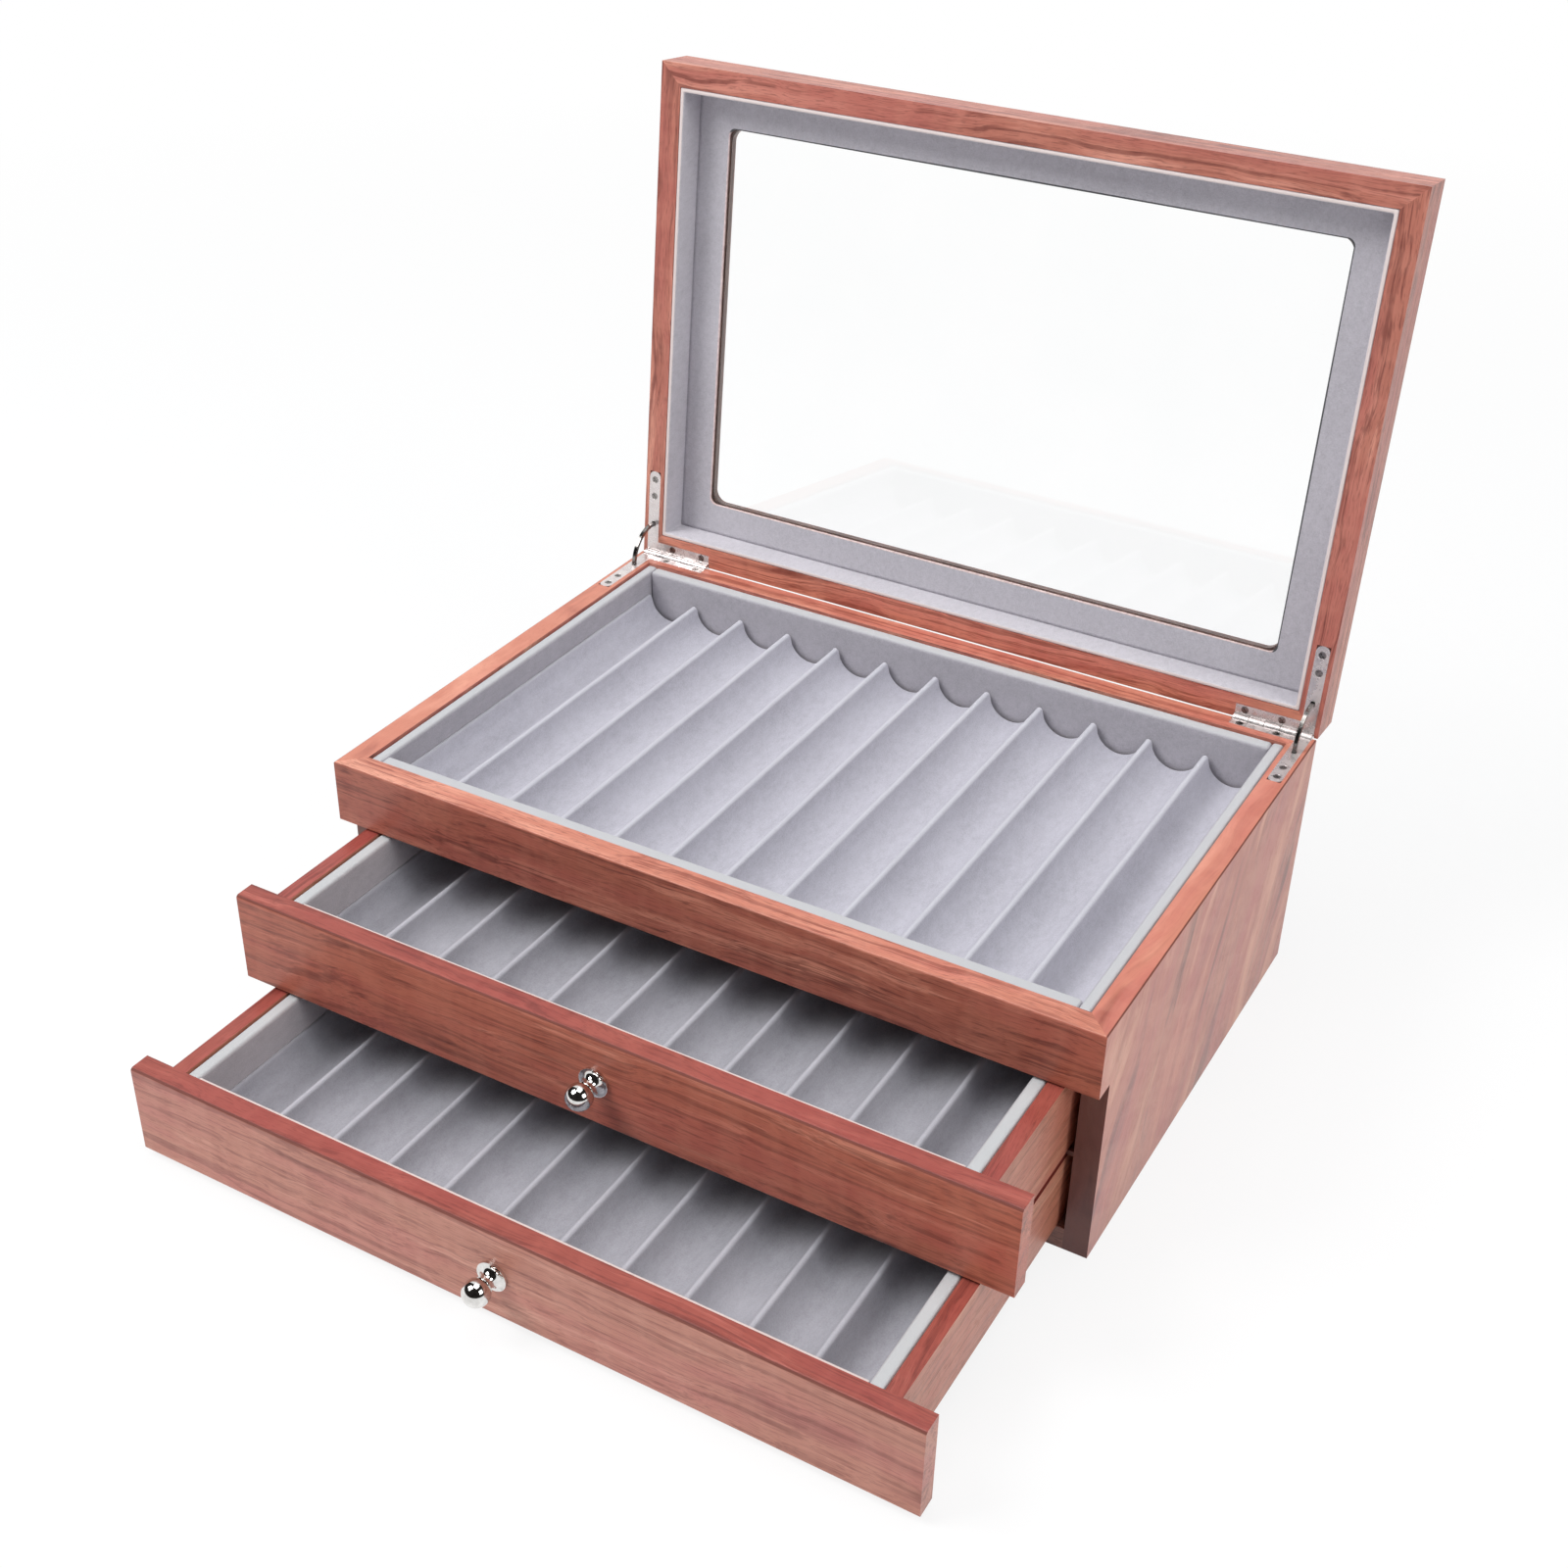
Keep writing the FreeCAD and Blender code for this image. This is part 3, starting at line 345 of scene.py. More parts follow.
class Finish(Nodes):
    """A material with one principled shader, and short ways to build its colours."""

    def __init__(self, name, **settings):
        self.material = bpy.data.materials.new(name)
        self.material.use_nodes = True
        super().__init__(self.material.node_tree)
        self.shader = self.tree.nodes["Principled BSDF"]
        self.set(**settings)

    def set(self, **settings):
        """Sets or links the shader's own sockets, named with underscores for the spaces."""
        for key, value in settings.items():
            self.put(value, self.shader.inputs[key.replace("_", " ")])

    def place(self, scale=(1, 1, 1), turn=(0, 0, 0), shift=(0, 0, 0), of=None):
        """Object coordinates, or another place, scaled, turned and moved."""
        made = self.add("ShaderNodeMapping")
        self.put(of or self.add("ShaderNodeTexCoord").outputs["Object"], made.inputs["Vector"])
        made.inputs["Scale"].default_value = scale
        made.inputs["Rotation"].default_value = turn
        made.inputs["Location"].default_value = shift
        return made.outputs[0]

    def parts(self, vector):
        """The three outputs of a vector."""
        made = self.add("ShaderNodeSeparateXYZ")
        self.put(vector, made.inputs[0])
        return made.outputs

    def facing(self):
        """The three outputs of the direction that the surface faces."""
        return self.parts(self.add("ShaderNodeTexCoord").outputs["Normal"])

    def speckle(self, where, scale, detail=2.0, rough=0.5, warp=0.0):
        """Noise of about 0.3 to 0.7."""
        made = self.add("ShaderNodeTexNoise")
        self.put(where, made.inputs["Vector"])
        made.inputs["Scale"].default_value = scale
        made.inputs["Detail"].default_value = detail
        made.inputs["Roughness"].default_value = rough
        made.inputs["Distortion"].default_value = warp
        return made.outputs["Fac"]

    def spread(self, value, low, high, to_low=0.0, to_high=1.0):
        """The value with low to high stretched to to_low to to_high, and held there outside."""
        made = self.add("ShaderNodeMapRange")
        self.put(value, made.inputs["Value"])
        for key, number in (("From Min", low), ("From Max", high), ("To Min", to_low),
                            ("To Max", to_high)):
            made.inputs[key].default_value = number
        return made.outputs["Result"]

    def ramp(self, value, stops):
        """A colour that runs through stops of (value, colour)."""
        made = self.add("ShaderNodeValToRGB")
        self.put(value, made.inputs["Fac"])
        marks = made.color_ramp.elements
        while len(marks) < len(stops):
            marks.new(0.5)
        for mark, (place, colour) in zip(marks, stops):
            mark.position = place
            mark.color = (*colour, 1)
        return made.outputs["Color"]

    def mix(self, share, first, second):
        """The second colour laid over the first by a share."""
        made = self.add("ShaderNodeMix", data_type="RGBA")
        self.put(share, made.inputs["Factor"])
        # inputs 6 and 7 are this node's two colours, and output 2 the colour that it makes
        for value, socket in ((first, made.inputs[6]), (second, made.inputs[7])):
            self.put(value if isinstance(value, bpy.types.NodeSocket) else (*value, 1), socket)
        return made.outputs[2]

    def pick(self, share, first, second):
        """The first place where share is 0 and the second where it is 1."""
        made = self.add("ShaderNodeMix", data_type="VECTOR")
        # input 0 is the share, inputs 4 and 5 are the vectors, and output 1 the vector it makes
        for value, socket in zip((share, first, second), (made.inputs[0], *made.inputs[4:6])):
            self.put(value, socket)
        return made.outputs[1]

    def bump(self, height, strength, distance):
        """Fine relief on the surface."""
        made = self.add("ShaderNodeBump")
        made.inputs["Strength"].default_value = strength
        made.inputs["Distance"].default_value = distance
        self.put(height, made.inputs["Height"])
        self.put(made.outputs["Normal"], self.shader.inputs["Normal"])


def tone(red, green, blue):
    """The linear colour of a screen colour given as 0 to 255."""
    c = np.array([red, green, blue]) / 255
    return tuple(float(v) for v in np.where(c <= 0.04045, c / 12.92, ((c + 0.055) / 1.055) ** 2.4))


RAW_EDGE = (tone(96, 70, 64), tone(150, 118, 108))
# tone of the dark line of painted shade on eased edges
EDGE_SHADE_TONE = tone(94, 42, 33)
# places in the shut lid, from its middle
STILE_START = 0.055  # how much further out than back a side piece of the lid's frame lies
WINDOW_WOOD = (0.1486, 0.0946)  # half width and half depth that take in the frame's inner edge
PANE_LEVEL = 0.1340  # top of the bare edge under the pane
# painted shade: the runs over which the border's cut edge turns dark
SHADED_X = (0.1400, 0.1410)  # run over which the border's cut edge turns dark on the right
SHADED_Y = (-0.0860, -0.0870)  # and on the far side
# how far each seed moves a board through the log that all of them are cut from
LOG_STEP = Vector((0.31, 0.17, 0.23))
GRAIN_TURNS = {
    # turns that bring the grain's own direction onto X
    "x": Matrix.Identity(3),
    "y": Matrix.Rotation(-math.pi / 2, 3, "Z"),
    "z": Matrix.Rotation(math.pi / 2, 3, "Y"),
    "leaning": Matrix.Rotation(math.pi / 2, 3, "Y") @ Matrix.Rotation(math.radians(27), 3, "X"),
}


def board_place(f, grain, seed, in_lid):
    """Object coordinates turned so that X runs along the grain, and moved to the board's own log."""
    turn = GRAIN_TURNS[grain]
    shift = seed * LOG_STEP
    if in_lid:
        back = LID_TURN.inverted()
        shift = turn @ back.to_translation() + shift
        turn = turn @ back.to_3x3()
    return f.place(turn=turn.to_euler(), shift=shift)


def shut_place(f):
    """The place of a piece of the lid as separate lengths, with the lid taken as shut."""
    shut = LID_TURN.inverted()
    return f.parts(f.place(turn=shut.to_3x3().to_euler(), shift=shut.to_translation()))


GRAIN_LAYERS = {
    # layer: scale along and across the grain, detail, roughness, distortion
    "broad": (5, 30, 3.0, 0.55, 0.5),
    "streak": (8, 170, 4.0, 0.65, 0.15),
    "line": (3, 360, 3.0, 0.7, 0.0),
    "thread": (30, 1500, 2.0, 0.7, 0.0),
    "fleck": (170, 2300, 1.0, 0.6, 0.0),
    "ripple": (95, 30, 2.0, 0.6, 0.0),
    "cloud": (6, 40, 2.0, 0.6, 0.6),
}
PORES = (0.56, 0.66)  # noise where a pore starts and where it is deepest
GRAIN_MARKS = (
    # layer, noise where its mark starts and where it is full, share, colour, follows crisp
    ("cloud", 0.46, 0.60, 0.60, "rosy", False),
    ("line", 0.53, 0.61, 0.75, "dark", True),
    ("thread", 0.50, 0.66, 0.30, "dark", True),
    ("ripple", 0.42, 0.62, 0.17, "light", False),
    ("fleck", *PORES, 0.34, "deep", True),
)
SWAY_NOISE = (0.25, 0.75)  # the run of noise that sways the grain


def swayed(f, board, lean):
    """The board's place with the grain's wander added: a slow sway and a short tremor."""
    sway = f.speckle(f.place(scale=(4.5, 15, 15), of=board), 1.0, 2.0, 0.5)
    tremor = f.speckle(f.place(scale=(38, 60, 60), of=board), 1.0, 1.0, 0.5)
    sway = f.calc("ADD", f.spread(sway, *SWAY_NOISE, -0.008 * lean, 0.008 * lean),
                  f.spread(tremor, *SWAY_NOISE, -0.0009, 0.0009))
    along, across, deep = f.parts(board)
    together = f.add("ShaderNodeCombineXYZ")
    f.put(along, together.inputs[0])
    f.put(f.calc("ADD", across, sway), together.inputs[1])
    f.put(f.calc("ADD", deep, f.share_of(sway, 0.7)), together.inputs[2])
    return together.outputs[0]


def wood_colour(f, layers, tones, crisp):
    """The colour of a board from its layers of noise and its dark, middle and light tones."""
    dark, middle, light = tones
    colours = {"dark": dark, "light": light, "deep": tuple(0.5 * v for v in dark),
               "rosy": (1.02 * middle[0], 0.84 * middle[1], 0.98 * middle[2])}
    figure = f.calc("ADD", f.share_of(layers["broad"], 0.30), f.share_of(layers["streak"], 0.70))
    colour = f.ramp(figure, [(0.36, dark), (0.46, middle), (0.53, middle), (0.62, light)])
    for layer, start, full, share, target, follows_crisp in GRAIN_MARKS:
        share *= crisp if follows_crisp else 1.0
        mark = f.share_of(f.spread(layers[layer], start, full), share)
        colour = f.mix(mark, colour, colours[target])
    return colour


def veneer(name, seed, grain, tones, crown=None, in_lid=False, gloss=0.40, lean=1.0, fine=1.0,
           crisp=1.0, painted_edge_shade=0.0, painted_front_shade=0.0, window_edge=False):
    """Rosewood veneer: broad figure, streaks, growth lines, rosy clouds, pores and a satin lacquer.

    crown gives another grain and other tones to the faces that look up, and painted_edge_shade paints
    shade as a dark line on the eased edge between them and the upright faces.  lean is how far the
    streaks wander, fine how closely they lie and crisp how strongly the thin lines show.
    painted_front_shade paints shade on the faces that look to the front.  window_edge is for the
    lid's frame: mitred stiles and a raw inner edge."""
    f = Finish(name, Specular_IOR_Level=0.45)
    board = board_place(f, grain, seed, in_lid)
    _, back, up = f.facing()
    if crown:
        upward = f.spread(up, 0.70, 0.80)
        board = f.pick(upward, board, board_place(f, crown[0], seed + 0.5, in_lid))
    if window_edge:
        x, y, z = shut_place(f)
        x, y = f.calc("ABSOLUTE", x), f.calc("ABSOLUTE", y)
        stile = f.calc("GREATER_THAN", f.calc("SUBTRACT", x, y), STILE_START)
        board = f.pick(stile, board, board_place(f, "y", seed + 0.5, in_lid))
    grainwise = swayed(f, board, lean)
    layers = {}
    for layer, (along, over, *noise) in GRAIN_LAYERS.items():
        over *= fine if layer in ("streak", "line") else 1.0
        layers[layer] = f.speckle(f.place(scale=(along, over, over), of=grainwise), 1.0, *noise)
    colour = wood_colour(f, layers, tones, crisp)
    if crown:
        colour = f.mix(upward, colour, wood_colour(f, layers, crown[1], crisp))
    pores = f.spread(layers["fleck"], *PORES)
    rough = f.calc("ADD", f.share_of(layers["streak"], 0.6), f.share_of(pores, 0.3))
    rough = f.spread(rough, 0.2, 0.8, gloss - 0.07, gloss + 0.12)
    # painted shade: a dark, duller line on the eased edge between the faces that look up and the
    # upright faces
    if painted_edge_shade:
        eased = f.calc("MULTIPLY", f.spread(up, 0.25, 0.5), f.spread(up, 0.98, 0.88))
        eased = f.share_of(eased, painted_edge_shade)
        colour = f.mix(eased, colour, EDGE_SHADE_TONE)
        rough = f.calc("ADD", rough, f.share_of(eased, 0.4), clamp=True)
    # painted shade: the faces that look to the front are darkened towards a deeper copy of the dark
    # tone
    if painted_front_shade:
        front_shade_share = f.share_of(f.spread(back, -0.6, -0.8), painted_front_shade)
        colour = f.mix(front_shade_share, colour, tuple(0.4 * v for v in tones[0]))
    if window_edge:
        inner = f.calc("MULTIPLY", f.calc("LESS_THAN", x, WINDOW_WOOD[0]),
                       f.calc("LESS_THAN", y, WINDOW_WOOD[1]))
        below = f.calc("LESS_THAN", z, PANE_LEVEL)
        raw = f.mix(f.spread(layers["thread"], 0.3, 0.7), *RAW_EDGE)
        colour = f.mix(f.calc("MULTIPLY", inner, below), colour, raw)
    relief = f.calc("SUBTRACT", f.share_of(layers["streak"], 0.5), f.share_of(pores, 0.8))
    f.set(Base_Color=colour, Roughness=rough)
    f.bump(relief, 0.16, 0.0002)
    return f


def velvet(name, face, crest=None, edge=None):
    """Grey velvet: fine pile, faint brushed patches and a soft sheen.

    crest is a painted highlight along the ridges' tops, by the piece's "rise", and edge a tone painted
    as light on the faces that look one way: (tone, axis number, normal where it starts, where full)."""
    f = Finish(name, Specular_IOR_Level=0.15, Sheen_Weight=0.35, Sheen_Roughness=0.45,
               Sheen_Tint=(0.95, 0.95, 1.0, 1))
    here = f.place()
    nap = f.speckle(here, 26.0, 2.0, 0.5, 0.3)
    brush = f.speckle(f.place(scale=(1, 0.45, 1), of=here), 420.0, 3.0, 0.7)
    pile = f.speckle(here, 1500.0, 3.0, 0.75)
    shade = f.calc("ADD", f.share_of(nap, 0.16),
                   f.calc("ADD", f.share_of(brush, 0.34), f.share_of(pile, 0.50)))
    low = tuple(0.84 * v for v in face)
    high = tuple(min(1.0, 1.13 * v) for v in face)
    colour = f.ramp(shade, [(0.36, low), (0.5, face), (0.64, high)])
    # painted highlight: a lighter tone along the ridges' tops, broken up by the nap
    if crest:
        rise = f.add("ShaderNodeAttribute", attribute_name="rise").outputs["Fac"]
        crest_highlight_share = f.calc("ADD", f.spread(rise, 0.84, 1.0), f.spread(nap, 0.3, 0.7, -0.12, 0.12))
        colour = f.mix(f.calc("MULTIPLY", crest_highlight_share, 0.9, clamp=True), colour, crest)
    # painted light: a lighter tone on the faces that look one way, up or to the front
    if edge:
        light, axis, start, full = edge
        colour = f.mix(f.spread(f.facing()[axis], start, full), colour, light)
    f.set(Base_Color=colour, Roughness=f.spread(pile, 0.3, 0.7, 0.86, 1.0))
    f.bump(f.calc("ADD", pile, f.share_of(brush, 0.6)), 0.45, 0.0004)
    return f


def raw_edge(name, low, high, shaded=None):
    """The cut edge of board or cloth: a dull tone with fibres and specks.

    shaded is a painted shade for it along the lid's far side and its right side."""
    f = Finish(name)
    fibre = f.speckle(f.place(), 700.0, 3.0, 0.7)
    colour = f.ramp(fibre, [(0.35, low), (0.65, high)])
    # painted shade on the lid's far side and right side
    if shaded:
        x, y, _ = shut_place(f)
        away = f.calc("MAXIMUM", f.spread(x, *SHADED_X), f.spread(y, *SHADED_Y))
        colour = f.mix(away, colour, shaded)
    f.set(Base_Color=colour, Roughness=f.spread(fibre, 0.3, 0.7, 0.75, 0.95))
    f.bump(fibre, 0.4, 0.0002)
    return f


def nickel(name, dark, light, gloss, metal=1.0):
    """Nickel plate with fine polishing lines and faint handling marks."""
    f = Finish(name, Metallic=metal)
    here = f.place()
    lines = f.speckle(f.place(scale=(1, 14, 1), of=here), 900.0, 2.0, 0.5)
    marks = f.speckle(here, 260.0, 3.0, 0.6)
    f.set(Base_Color=f.ramp(marks, [(0.3, dark), (0.7, light)]),
          Roughness=f.spread(marks, 0.3, 0.75, gloss * 0.6, gloss * 1.6))
    f.bump(f.calc("ADD", lines, marks), 0.05, 0.0001)
    return f


def clear_window(name):
    """The window: clear, with the faintest breath of haze."""
    f = Finish(name, Transmission_Weight=1.0, IOR=1.45, Specular_IOR_Level=0.1)
    haze = f.speckle(f.place(), 24.0, 3.0, 0.6)
    f.set(Base_Color=f.ramp(haze, [(0.3, (0.985, 0.99, 0.99)), (0.7, (1.0, 1.0, 1.0))]),
          Roughness=f.spread(haze, 0.3, 0.8, 0.0, 0.02))
    return f


# a board's dark, middle and light tone
RAIL = (tone(106, 48, 36), tone(165, 91, 71), tone(202, 129, 105))
LID = (tone(116, 54, 44), tone(180, 109, 91), tone(211, 142, 122))
LID_LOW = (tone(140, 70, 54), tone(209, 132, 108), tone(228, 156, 132))
FRONT = (tone(108, 50, 38), tone(178, 98, 76), tone(210, 133, 108))
LOWER = (tone(126, 66, 56), tone(186, 124, 106), tone(210, 153, 134))
SIDE = (tone(98, 48, 44), tone(189, 120, 103), tone(222, 166, 142))
CROWN = (tone(138, 68, 54), tone(198, 124, 102), tone(220, 152, 129))
REDWOOD = (tone(102, 38, 32), tone(153, 74, 63), tone(184, 102, 89))
BOX = (tone(130, 76, 58), tone(184, 118, 93), tone(208, 147, 121))
DIM = (tone(80, 44, 38), tone(122, 76, 64), tone(146, 98, 84))

veneers = {
    # node: seed, grain, tones, and for faces that look up: grain and tones
    "front_rail": (1, "x", RAIL, ("x", CROWN)),
    "side_panel_left": (2, "leaning", SIDE, ("y", CROWN)),
    "side_panel_right": (3, "leaning", SIDE, ("y", CROWN)),
    "back_panel": (4, "x", SIDE, ("x", CROWN)),
    "bottom_board": (5, "x", DIM, None), "tray_floor": (6, "x", DIM, None),
    "dust_panel": (7, "x", DIM, None),
    "lid_rail_front": (8, "x", LID, None), "lid_rail_back": (9, "x", LID_LOW, None),
    "lid_rail_left": (10, "y", LID, None), "lid_rail_right": (11, "y", LID, None),
    "lid_top_frame": (12, "x", RAIL, None),
    "upper_drawer_front": (13, "x", FRONT, ("x", REDWOOD)),
    "lower_drawer_front": (14, "x", LOWER, ("x", REDWOOD)),
    "upper_drawer_side_left": (15, "y", BOX, ("y", REDWOOD)),
    "upper_drawer_side_right": (16, "y", BOX, ("y", REDWOOD)),
    "upper_drawer_back": (17, "x", BOX, ("x", REDWOOD)), "upper_drawer_bottom": (18, "x", DIM, None),
    "lower_drawer_side_left": (19, "y", BOX, ("y", REDWOOD)),
    "lower_drawer_side_right": (20, "y", BOX, ("y", REDWOOD)),
    "lower_drawer_back": (21, "x", BOX, ("x", REDWOOD)), "lower_drawer_bottom": (22, "x", DIM, None),
}
looks = (
    # start of the node's name, and what sets its figure and its painted shade apart; the first that
    # fits holds
    ("side_panel", dict(lean=2.6, fine=0.24, crisp=0.2, painted_edge_shade=0.8, painted_front_shade=0.8)),
    ("upper_drawer_front", dict(crisp=0.7, painted_edge_shade=0.8)),
    ("lower_drawer_front", dict(crisp=0.7, painted_edge_shade=0.8)),
    ("upper_drawer", dict(crisp=0.7)),
    ("lower_drawer", dict(crisp=0.7)),
    ("lid_top_frame", dict(window_edge=True)),
    ("", dict()),
)


def dress(node, finish):
    """Puts a finish on a CAD shape in place of its plain material."""
    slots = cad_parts[node].data.materials
    slots.clear()
    slots.append(finish.material)


for node, (seed, grain, tones, crown) in veneers.items():
    look = next(look for start, look in looks if node.startswith(start))
    dress(node, veneer(node + "_veneer", seed, grain, tones, crown,
                       in_lid=node.startswith("lid_"), **look))

metals = (
    # start of the nodes' names, finish
    ("hinge_leaf", nickel("leaf_nickel", tone(208, 200, 199), tone(230, 223, 221), 0.27, 0.72)),
    ("hinge_screws", nickel("screw_nickel", tone(120, 115, 113), tone(170, 165, 162), 0.24)),
    ("hinge_pin", nickel("pin_nickel", tone(200, 197, 194), tone(232, 229, 226), 0.12)),
    ("stay_", nickel("stay_nickel", tone(106, 104, 102), tone(166, 163, 160), 0.16)),
    ("upper_drawer_knob", nickel("upper_knob_nickel", tone(205, 203, 200), tone(236, 235, 233), 0.07)),
    ("lower_drawer_knob", nickel("lower_knob_nickel", tone(205, 203, 200), tone(236, 235, 233), 0.07)),
)
for start, metal in metals:
    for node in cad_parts:
        if node.startswith(start):
            dress(node, metal)

dress("lid_glass", clear_window("clear_window"))

# one grey cloth: the drawers' slotted pads get a darker copy for painted shade, and the drawers'
# linings, the lid's border and the lid's wall lighter copies for painted light; each crest tone is a
# painted highlight on the ridges' tops, and each edge tone painted light on the faces that look up, or
# to the front in the lid's wall
slot_velvet = velvet("slot_velvet", tone(184, 182, 191), crest=tone(195, 194, 201))
drawer_slot_velvet_painted_shade = velvet("drawer_slot_velvet_painted_shade", tone(163, 162, 169), crest=tone(182, 181, 188))
wall_velvet = velvet("wall_velvet", tone(175, 171, 177), edge=(tone(188, 188, 190), 2, 0.5, 0.95))
drawer_velvet_painted_light = velvet("drawer_velvet_painted_light", tone(186, 180, 183), edge=(tone(190, 191, 192), 2, 0.5, 0.95))
front_velvet_painted_light = velvet("front_velvet_painted_light", tone(186, 180, 183), edge=(tone(214, 198, 193), 2, 0.3, 0.8))
lid_velvet_painted_light = velvet("lid_velvet_painted_light", tone(192, 188, 194))
lid_wall_velvet_painted_light = velvet("lid_wall_velvet_painted_light", tone(194, 190, 196),
                         edge=(tone(224, 210, 206), 1, -0.5, -0.95))
# the last tone is painted shade on the cut edge's far and right sides
cloth_edge = raw_edge("cloth_edge", tone(206, 182, 180), tone(236, 216, 212), tone(84, 84, 86))
board_edge = raw_edge("board_edge", *RAW_EDGE)

# ---------------------------------------------------------------- soft pieces

PAD_END = 0.0013  # gap between a slotted pad's rear end and the lining
STRIP_ROLL = 0.0015  # radius of a lining's rolled edges
OFF_THE_WOOD = 0.0004  # how far a lining stands off the wood behind it
# both for the drawers' front and rear linings, which are thin boards
THIN_ROLL = 0.0003
THIN_OFF_THE_WOOD = 0.0001


def soften(piece, body, *nodes):
    """Puts a velvet piece in place of its nodes, which it hides, and makes it ride with their body."""
    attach(piece, body)
    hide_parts(*nodes)


def line_side(start, side, body, cloth, roll=STRIP_ROLL, hair=OFF_THE_WOOD):
    """A velvet strip in place of one side's lining, drawn in by a hair where it lies on the wood."""
    node = f"{start}_lining_{side}"
    low, high = (np.array(corner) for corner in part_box(node))
    across = 0 if side in ("left", "right") else 1
    if side in ("left", "front"):
        low[across] += hair
    else:
        high[across] -= hair
    strip = padded_strip(f"{start}_velvet_{side}", low, high, 1 - across, roll, cloth.material)
    soften(strip, body, node)


def cover_slots(start, body, slots, half_width, depth, cloth):
    """A slotted pad in place of an insert, with its number of slots, half width and slots' depth."""
    node = start + "_insert"
    low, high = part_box(node)
    pad = slotted_pad(start + "_slotted_pad", slots, half_width, low[1], high[1] - PAD_END,
                      low[2], high[2], depth, cloth.material)
    soften(pad, body, node)


DRAWERS = ("upper_drawer", "lower_drawer")
TRAY_SLOTS = (12, 0.1545, 0.0115)  # number, half width of all of them together, depth
DRAWER_SLOTS = (11, 0.1440, 0.0110)
cover_slots("tray", "chest", *TRAY_SLOTS, slot_velvet)
for drawer in DRAWERS:
    cover_slots(drawer, drawer, *DRAWER_SLOTS, drawer_slot_velvet_painted_shade)
for side in ("left", "right", "front", "back"):
    line_side("tray", side, "chest", wall_velvet)
for drawer in DRAWERS:
    for side in ("left", "right"):
        line_side(drawer, side, drawer, drawer_velvet_painted_light)
    for side in ("front", "back"):
        line_side(drawer, side, drawer, front_velvet_painted_light, THIN_ROLL, THIN_OFF_THE_WOOD)

# the lid's recess and window, shut: half width, half depth and corner radius, and levels
RECESS = (0.158, 0.103)
WINDOW = (0.142, 0.088, 0.0035)
WALL_LEVELS = (0.1133, 0.1287)
BORDER_LEVELS = (0.1277, 0.1289)
WALL_THICK = 0.002
WALL_CORNER = 0.0008
WALL_ROLL = 0.0008
BORDER_CORNER = 0.0016
BORDER_ROLL = 0.0004
soften(ring_wall("lid_velvet_wall", *RECESS, WALL_THICK, *WALL_LEVELS, WALL_CORNER, WALL_ROLL,
                 lid_wall_velvet_painted_light.material, LID_TURN),
       "lid", "lid_lining_front", "lid_lining_back", "lid_lining_left", "lid_lining_right")
soften(window_border("lid_velvet_border", (*RECESS, BORDER_CORNER), WINDOW, *BORDER_LEVELS,
                     BORDER_ROLL, lid_velvet_painted_light.material, cloth_edge.material, board_edge.material,
                     LID_TURN),
       "lid", "lid_window_lining")

# ---------------------------------------------------------------- stage, lamps and camera


def studio_floor(half_size=6.0, level=-0.0004):
    """A white floor that keeps a soft shadow: its own colour near the chest, fully white far off."""
    floor = Finish("studio_floor", Base_Color=(0.9, 0.9, 0.9, 1), Roughness=0.9,
                   Specular_IOR_Level=0.1)
    distance = floor.add("ShaderNodeVectorMath", operation="LENGTH")
    floor.put(floor.place(), distance.inputs[0])
    glow = floor.add("ShaderNodeEmission")
    share = floor.calc("MULTIPLY", floor.white_rays(),
                       floor.spread(distance.outputs["Value"], 0.5, 1.5, 0.85, 1.0))
    floor.put(floor.blend(share, floor.shader.outputs[0], glow.outputs[0]),
              floor.tree.nodes["Material Output"].inputs["Surface"])
    corners = [(x * half_size, y * half_size, level) for x, y in ((-1, -1), (1, -1), (1, 1), (-1, 1))]
    make_piece("studio_floor", corners, [(0, 1, 2, 3)], floor.material, smooth=False)


def studio_world():
    """A dim cool room that lights the chest, white to the camera, to mirrors and through glass."""
    world = bpy.data.worlds.new("studio")
    bpy.context.scene.world = world
    world.use_nodes = True
    nodes = Nodes(world.node_tree)
    nodes.tree.nodes.clear()
    shades = []
    for colour, strength in (((0.86, 0.93, 1.0, 1), 0.25), ((1, 1, 1, 1), 1.0)):
        shade = nodes.add("ShaderNodeBackground")
        nodes.put(colour, shade.inputs["Color"])
        nodes.put(strength, shade.inputs["Strength"])
        shades.append(shade.outputs[0])
    nodes.put(nodes.blend(nodes.white_rays(), *shades),
              nodes.add("ShaderNodeOutputWorld").inputs["Surface"])


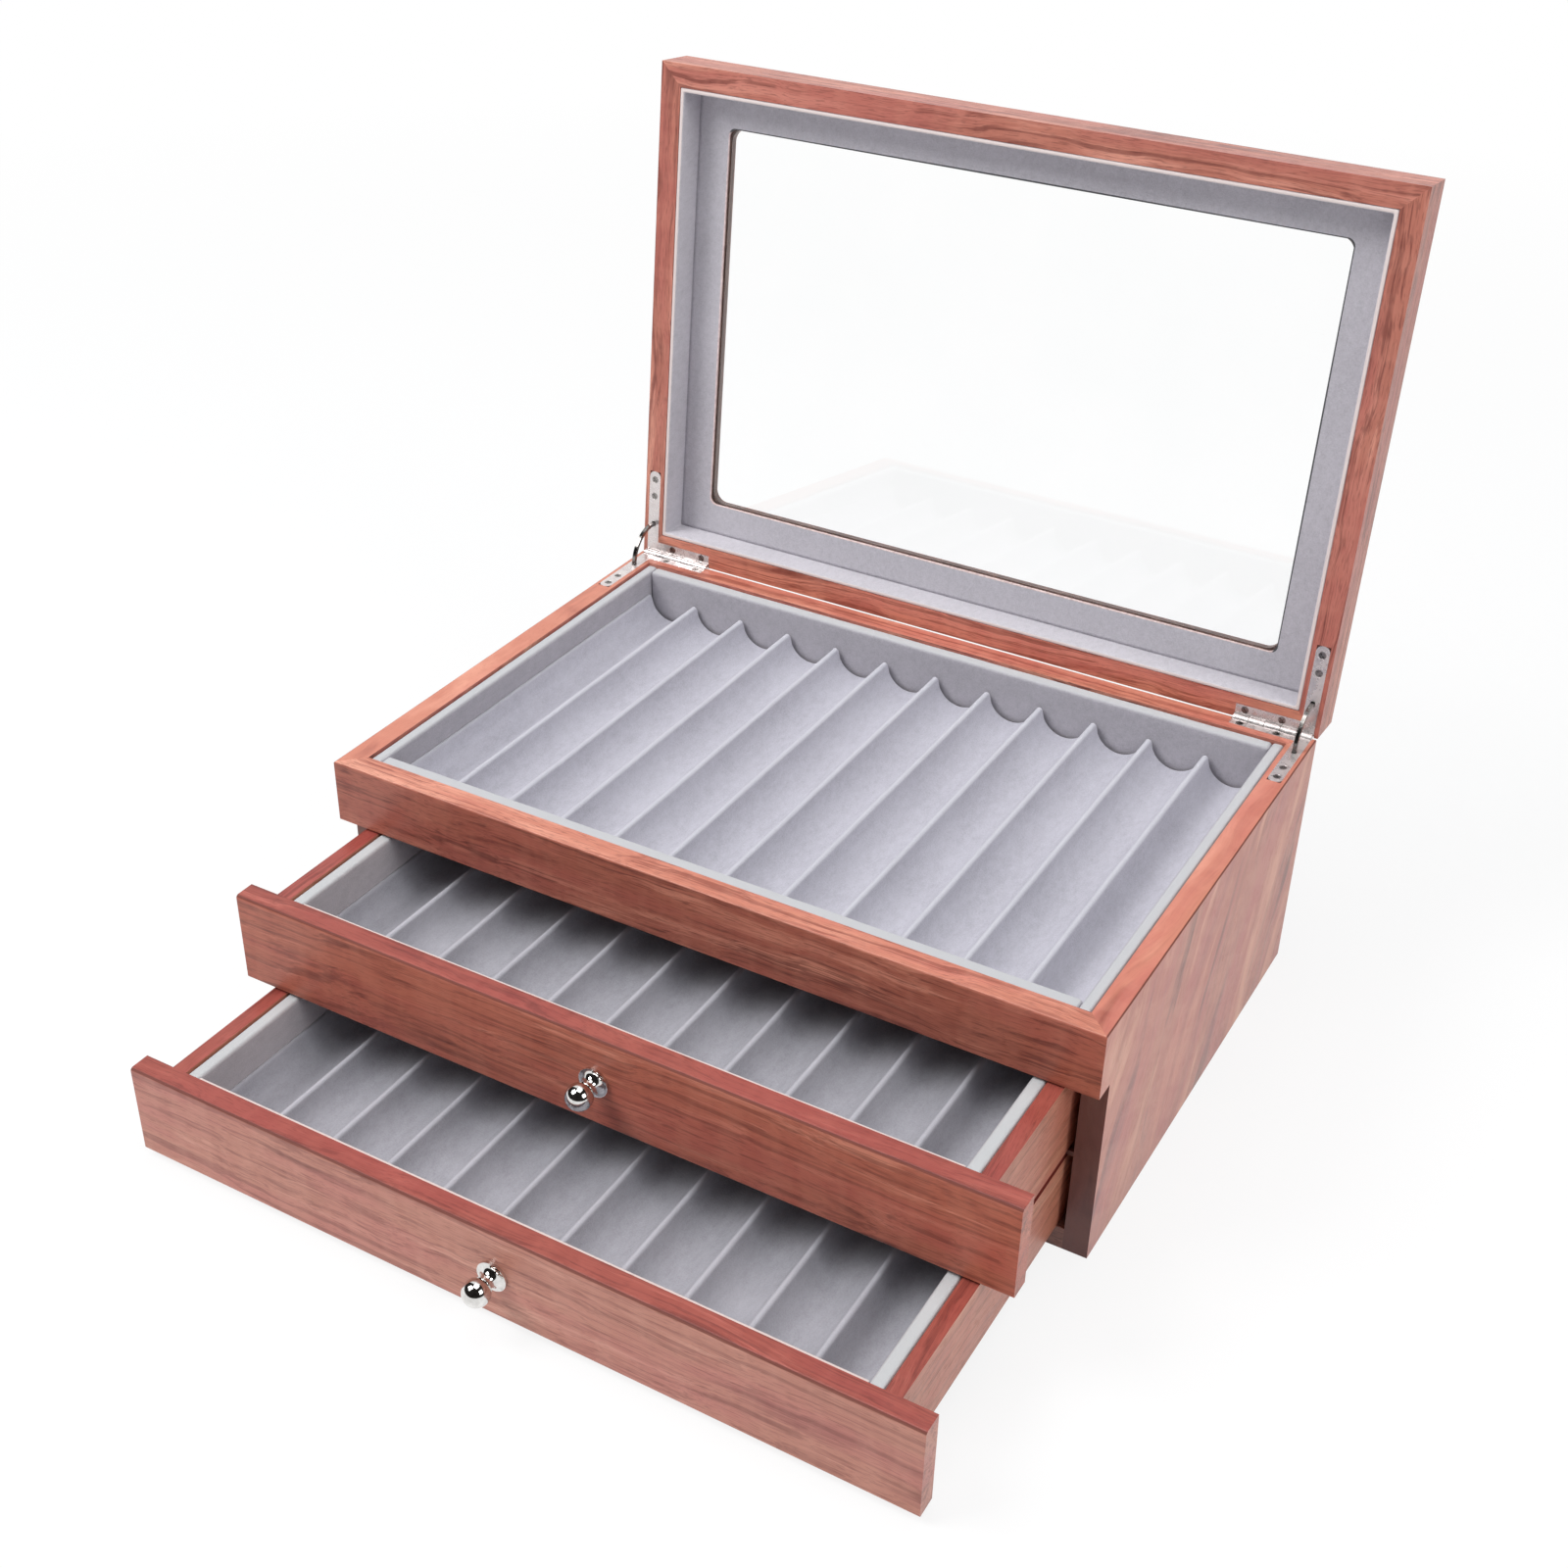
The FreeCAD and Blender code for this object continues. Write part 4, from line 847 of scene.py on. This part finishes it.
LAMPS = (
    # name, place, width, watts
    ("lamp_left", (-1.2, -1.05, 1.9), 1.1, 40.0),
    ("lamp_right", (2.0, -0.4, 1.5), 1.1, 19.5),
    ("lamp_above", (0.0, 0.0, 2.4), 1.4, 22.0),
)


def studio_lamps(aim=Vector((0, -0.05, 0.1))):
    """Plain soft square lamps, all turned to the middle of the open chest."""
    for name, place, width, watts in LAMPS:
        lamp = bpy.data.lights.new(name, "AREA")
        lamp.shape = "SQUARE"
        lamp.size = width
        lamp.energy = watts
        stand = bpy.data.objects.new(name, lamp)
        stand.location = place
        stand.rotation_euler = (aim - Vector(place)).to_track_quat("-Z", "Y").to_euler()
        bpy.context.scene.collection.objects.link(stand)


def dark_tent():
    """A dark curved screen on the camera's side of the room, seen only in polished metal.

    A point of it is radius * (sin a cos e, -cos a cos e, sin e) for azimuth a and elevation e."""
    cloth = Finish("dark_tent", Base_Color=(0.055, 0.046, 0.042, 1), Roughness=1.0,
                   Specular_IOR_Level=0.0)
    radius = 4.5
    azimuths = np.radians(np.linspace(-108, 160, 68))
    elevations = np.radians(np.linspace(4, 89, 24))
    around, up = np.meshgrid(azimuths, elevations, indexing="ij")
    points = radius * np.stack([np.sin(around) * np.cos(up), -np.cos(around) * np.cos(up),
                                np.sin(up)], -1)
    faces = loft_faces(*around.shape, close_columns=False)
    screen = make_piece("dark_tent", points.reshape(-1, 3), faces.tolist(), cloth.material)
    screen.visible_camera = screen.visible_diffuse = screen.visible_shadow = False
    screen.visible_transmission = screen.visible_volume_scatter = False


def set_camera():
    """The camera: right of the front, looking down at the open chest."""
    lens = bpy.data.cameras.new("viewpoint")
    lens.sensor_width = 36.0
    lens.lens = 47.77
    lens.clip_start = 0.02
    camera = bpy.data.objects.new("viewpoint", lens)
    camera.location = (0.34280, -0.65292, 0.56589)
    camera.rotation_euler = Euler([math.radians(v) for v in (57.473, -1.055, 29.945)], "XYZ")
    bpy.context.scene.collection.objects.link(camera)
    bpy.context.scene.camera = camera


studio_floor()
studio_world()
studio_lamps()
dark_tent()
set_camera()
bpy.context.scene.view_settings.view_transform = "Standard"
